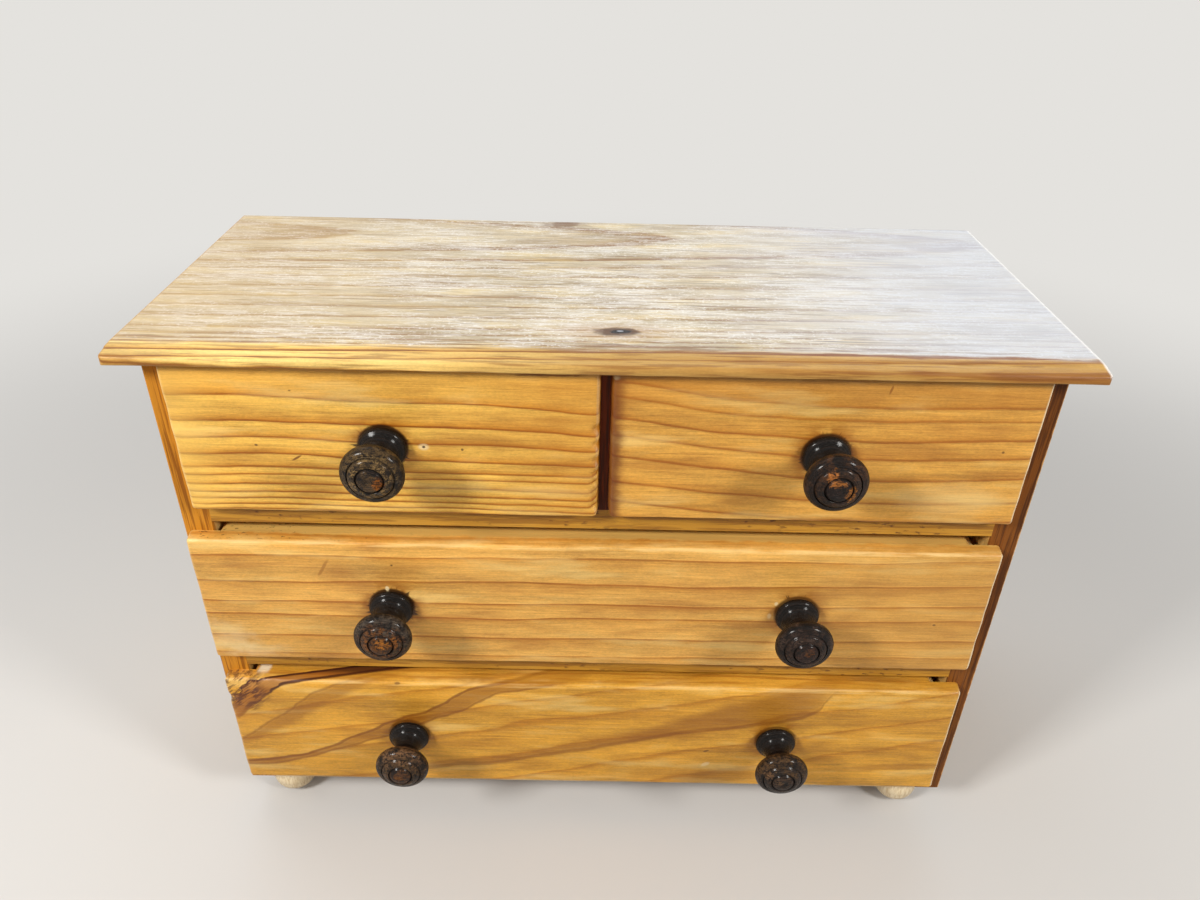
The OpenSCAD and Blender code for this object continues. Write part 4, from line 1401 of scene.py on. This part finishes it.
def knob_stain(name):
    """Near-black stain, rubbed to brown on the rim and to orange wood in patches on the front."""
    seat = knob_seat(name)
    tints = KNOB_TINTS[name]
    recipe = Recipe("stain_" + name, coat=0.2, coat_roughness=0.16, specular=0.1)
    x, y, z = recipe.xyz(seat)
    out = y * -1
    reach = (x * x + z * z).root()
    apart = 300  # each knob has its own part of the noise
    place = recipe.vector(x + seat.x * apart, y, z + seat.z * apart)
    lathe = recipe.noise(recipe.vector(reach, out, reach), (0.6, 0.6, 60), detail=2)
    patch = recipe.noise(place, (4.5, 4.5, 4.5), detail=4, roughness=0.7)
    worn = recipe.noise(place, (6, 6, 6), detail=4, roughness=0.7)
    fleck = recipe.noise(place, (1.4, 1.4, 1.4), detail=3, roughness=0.7)
    sideways = recipe.vector(x + seat.x * apart, y, z)
    grain = recipe.noise(sideways, (7, 1.0, 0.9), detail=4, roughness=0.7)
    head = (out + (patch - 0.5) * 5).step(17.6, 19.6)
    front = out.step(24.2, 26.5)
    boss = reach.step(6.3, 5.4) * front
    ring = front * (1 - boss)
    upper = (z + (patch - 0.5) * 8).step(-6, 5)
    rim = recipe.mix(srgb(*tints["low"]), srgb(*tints["head"]), upper)
    grooves = [1 - abs(reach - radius).step(0.15, 0.8) for radius in (RING_GROOVE, BOSS_GROOVE)]

    def patch_share(px, pz, half_x, half_z):
        spot = recipe.spot(x, z, (px, pz), (half_x, half_z), 0, 2.6, 0.3, fleck)
        return spot * out.step(22, 24) * 0.95

    colour = recipe.layers(colours().stain, [
        (srgb(66, 46, 34), lathe.step(0.5, 0.7) * 0.35),
        (rim, head * worn.step(0.4, 0.6) * (0.6 + 0.4 * fleck.step(0.35, 0.6))),
        (srgb(*tints["ring"]), ring * (patch + (fleck - 0.5) * 0.8).step(0.42, 0.56)),
        (srgb(*tints["boss"]), boss * (worn + (fleck - 0.5) * 0.8).step(0.38, 0.54)),
        *[(srgb(*tint), patch_share(*oval)) for *oval, tint in tints["patches"]],
        (srgb(10, 7, 6), (grooves[0] + grooves[1]).at_most(1) * front * 0.9),
        (srgb(16, 11, 10), fleck.step(0.52, 0.6) * (0.3 + 0.6 * head)),
        (srgb(14, 9, 8), grain.step(0.48, 0.6) * head * 0.75),
        (srgb(186, 150, 104), grain.step(0.36, 0.28) * ring * fleck.step(0.5, 0.4) * 0.6),
    ])
    rough = 0.36 + head * 0.04 + (fleck - 0.5) * 0.5
    height = fleck * 0.9 + worn * 0.6 + patch * 0.4 + lathe * 1.6 - grain * 0.6
    return recipe.finish(colour, rough, height, depth=0.6)


class CHEST_OT_knobs(bpy.types.Operator):
    """Turns one knob, copies it to its six places and wears each differently"""

    bl_idname = "chest.knobs"
    bl_label = "Turned Knobs"

    def execute(self, context):
        first = turned("turned_knob", knob_profile(), 72)
        lie_down = Matrix.Rotation(math.radians(90), 4, "X")
        for name in KNOBS:
            seat = knob_seat(name)
            piece = copy_to(first, "dressed_" + name, Matrix.Translation(seat) @ lie_down)
            wear(piece, lambda co: 1.0 if co.y < seat.y - 1.4 * MM else 0.0, 6 * MM, sizes().knob_wear)
            smooth(piece, 50)
            dress(piece.name, knob_stain(name))
            stand_for(piece, name)
        bpy.data.objects.remove(first)
        return {"FINISHED"}


def foot_profile():
    """A ball with flats for the floor and the seat, a fine lathe line, and the peg above it."""
    low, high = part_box(FEET[0])
    radius = (high.x - low.x) / 2
    pad, seat, peg = 4 * MM, 8 * MM, 4 * MM
    rise = math.sqrt(radius * radius - pad * pad)
    pad_angle = -math.degrees(math.acos(pad / radius))
    seat_angle = math.degrees(math.acos(seat / radius))
    ball = arc((0, rise), radius, pad_angle, seat_angle, 24)
    line = len(ball) // 2
    ball[line] = (ball[line][0] - 0.35 * MM, ball[line][1])
    top = ball[-1][1]
    return [(0, 0), *ball, (peg, top), (peg, high.z - 0.4 * MM), (peg - 0.4 * MM, high.z), (0, high.z)]


def foot_finish():
    """Pale bare wood, darker in patches towards the floor."""
    recipe = Recipe("pale_turned_feet", coat=0.25, coat_roughness=0.3)
    place = recipe.millimetres((0, 0, 0))
    height = recipe.parts("ShaderNodeSeparateXYZ", place)[2]
    fibre = recipe.noise(place, (0.9, 0.9, 9), detail=3, roughness=0.6)
    broad = recipe.noise(place, (9, 9, 9), detail=2)
    colour = recipe.layers(srgb(242, 226, 192), [
        (srgb(214, 190, 146), fibre.step(0.35, 0.7)),
        (srgb(180, 160, 130), height.step(5, 0.5) * broad.step(0.35, 0.7) * 0.6),
    ])
    return recipe.finish(colour, 0.5 + (fibre - 0.5) * 0.2, fibre, depth=0.12)


class CHEST_OT_feet(bpy.types.Operator):
    """Turns one ball foot and copies it to its four places"""

    bl_idname = "chest.feet"
    bl_label = "Ball Feet"

    def execute(self, context):
        first = turned("turned_foot", foot_profile(), 64)
        finish = foot_finish()
        for name in FEET:
            middle = middle_of(name)
            piece = copy_to(first, "dressed_" + name, Matrix.Translation((middle.x, middle.y, 0)))
            smooth(piece, 50)
            dress(piece.name, finish)
            stand_for(piece, name)
        bpy.data.objects.remove(first)
        return {"FINISHED"}


# ---------------------------------------------------------------- fixings


def dull_steel():
    """Grey steel with patches of rust, which are duller and less metallic."""
    recipe = Recipe("dull_steel")
    place = recipe.millimetres((0, 0, 0))
    patch = recipe.noise(place, (1.2, 1.2, 1.2), detail=3, roughness=0.6)
    rust = patch.step(0.5, 0.68)
    colour = recipe.mix(srgb(128, 122, 116), srgb(96, 62, 42), rust)
    return recipe.finish(colour, 0.42 + rust * 0.35, patch, depth=0.05, metallic=0.9 - rust * 0.7)


class CHEST_OT_fixings(bpy.types.Operator):
    """Gives the nails, pins and screws dull steel"""

    bl_idname = "chest.fixings"
    bl_label = "Nails, Pins and Screws"

    def execute(self, context):
        steel = dull_steel()
        for name in frame["nodes"]:
            if name.startswith(("top_nails", "back_pins", "pins_", "knob_screws_")):
                dress(name, steel)
        return {"FINISHED"}


# ---------------------------------------------------------------- studio

WORLD_STRENGTH = 0.28
# Each lamp's place, target, size, power in watts and colour.
LAMPS = {
    "lamp_left": ((-0.78, -0.68, 0.86), (0, 0, 0.16), (0.24, 0.24), 11.2, (1, 0.985, 0.96)),
    "lamp_right": ((0.84, -0.64, 0.8), (0, 0, 0.16), (0.24, 0.24), 7.8, (1, 0.98, 0.95)),
    "window_back": ((0.7, 1.5, 0.95), (0.1, 0, 0.3), (1.0, 0.6), 4.5, (0.92, 0.96, 1)),
    "window_above": ((-0.5, 0.6, 1.3), (0, 0.1, 0.3), (1.0, 1.0), 5.4, (0.97, 0.98, 1)),
}
CAMERA_PLACE = (-0.0043, -0.41857, 0.4674)
CAMERA_DOWN, CAMERA_RIGHT, CAMERA_ROLL = 31.87, 0.37, -1.33  # degrees from a level look along +Y
CAMERA_LENS, CAMERA_SENSOR = 27.52, 36


def camera_matrix():
    """Looks along +Y from the camera's place, tilted down, turned to the right and rolled."""
    turns = ((-CAMERA_RIGHT, "Z"), (90 - CAMERA_DOWN, "X"), (-CAMERA_ROLL, "Z"))
    matrix = Matrix.Translation(CAMERA_PLACE)
    for angle, axis in turns:
        matrix = matrix @ Matrix.Rotation(math.radians(angle), 4, axis)
    return matrix


def soft_lamp(name, place, target, size, power, colour):
    """An area lamp that the camera doesn't see."""
    data = bpy.data.lights.new(name, "AREA")
    data.shape = "RECTANGLE"
    data.size, data.size_y = size
    data.energy = power
    data.color = colour
    lamp = bpy.data.objects.new(name, data)
    bpy.context.scene.collection.objects.link(lamp)
    lamp.location = place
    lamp.rotation_euler = (Vector(target) - Vector(place)).to_track_quat("-Z", "Y").to_euler()
    lamp.visible_camera = False


def floor_paint():
    """A pale floor for the camera, with the chest's shadow, that lights the chest no more than a table."""
    recipe = Recipe("pale_floor", specular=0.2)
    x, y, _ = recipe.xyz((0, 0, 0))
    direct = recipe.seen_directly()
    recipe.finish(recipe.mix(srgb(150, 136, 122), srgb(208, 206, 203), direct), 0.7)
    plain = recipe.add("ShaderNodeEmission", None, colours().floor, 1.0)
    near, away = 420, 1100  # between these the shadowed floor gives way to the plain one
    far = (x * x + y * y).root().step(near, away) * direct
    both = recipe.add("ShaderNodeMixShader", None, far, Wire(recipe, recipe.shader.outputs[0]), plain)
    recipe.tree.links.new(both.socket, recipe.tree.nodes["Material Output"].inputs["Surface"])
    return recipe.material


def world_light():
    """Even light on the chest; the camera sees the floor's colour behind it."""
    world = bpy.data.worlds.new("studio_world")
    bpy.context.scene.world = world
    world.use_nodes = True
    nodes = Nodes(world.node_tree)
    light = nodes.add("ShaderNodeBackground", None, (1.0, 0.985, 0.965, 1), WORLD_STRENGTH)
    backdrop = nodes.add("ShaderNodeBackground", None, colours().floor, 1.0)
    choice = nodes.add("ShaderNodeMixShader", None, nodes.seen_directly(), light, backdrop)
    nodes.tree.links.new(choice.socket, nodes.tree.nodes["World Output"].inputs["Surface"])


def add_floor():
    bpy.ops.object.select_all(action="DESELECT")
    bpy.ops.mesh.primitive_plane_add(size=30, location=(0, 8, 0))
    floor = bpy.context.object
    floor.name = "studio_floor"
    bpy.ops.object.transform_apply(location=True, rotation=True, scale=True)
    dress(floor.name, floor_paint())


def add_camera():
    data = bpy.data.cameras.new("studio_camera")
    data.sensor_width = CAMERA_SENSOR
    data.lens = CAMERA_LENS
    data.clip_start = 10 * MM
    camera = bpy.data.objects.new("studio_camera", data)
    bpy.context.scene.collection.objects.link(camera)
    camera.matrix_world = camera_matrix()
    bpy.context.scene.camera = camera


class CHEST_OT_studio(bpy.types.Operator):
    """Adds the floor, the lamps, the world and the camera"""

    bl_idname = "chest.studio"
    bl_label = "Studio"

    def execute(self, context):
        add_floor()
        world_light()
        for name, settings in LAMPS.items():
            soft_lamp(name, *settings)
        add_camera()
        context.scene.view_settings.view_transform = "Standard"
        return {"FINISHED"}


# ---------------------------------------------------------------- add-on


class CHEST_PT_dresser(bpy.types.Panel):
    """Lists the steps that dress the chest, and its sizes and colours"""

    bl_label = "Pine Chest"
    bl_idname = "CHEST_PT_dresser"
    bl_space_type = "VIEW_3D"
    bl_region_type = "UI"
    bl_category = "Chest"

    def draw(self, context):
        for step in STEPS:
            self.layout.operator(step.bl_idname)
        for settings in (context.scene.chest_sizes, context.scene.chest_colours):
            box = self.layout.box()
            for name in settings.bl_rna.properties.keys():
                if name not in ("rna_type", "name"):
                    box.prop(settings, name)


STEPS = (CHEST_OT_drawer_fronts, CHEST_OT_top_board, CHEST_OT_case_boards, CHEST_OT_drawer_boxes,
    CHEST_OT_knobs, CHEST_OT_feet, CHEST_OT_fixings, CHEST_OT_studio)
CLASSES = (ChestSizes, ChestColours, *STEPS, CHEST_PT_dresser)


def register():
    for cls in CLASSES:
        bpy.utils.register_class(cls)
    bpy.types.Scene.chest_sizes = bpy.props.PointerProperty(type=ChestSizes)
    bpy.types.Scene.chest_colours = bpy.props.PointerProperty(type=ChestColours)


def unregister():
    del bpy.types.Scene.chest_colours
    del bpy.types.Scene.chest_sizes
    for cls in reversed(CLASSES):
        bpy.utils.unregister_class(cls)


def main():
    register()
    bpy.ops.chest.drawer_fronts()
    bpy.ops.chest.top_board()
    bpy.ops.chest.case_boards()
    bpy.ops.chest.drawer_boxes()
    bpy.ops.chest.knobs()
    bpy.ops.chest.feet()
    bpy.ops.chest.fixings()
    bpy.ops.chest.studio()


if __name__ == "__main__":
    main()
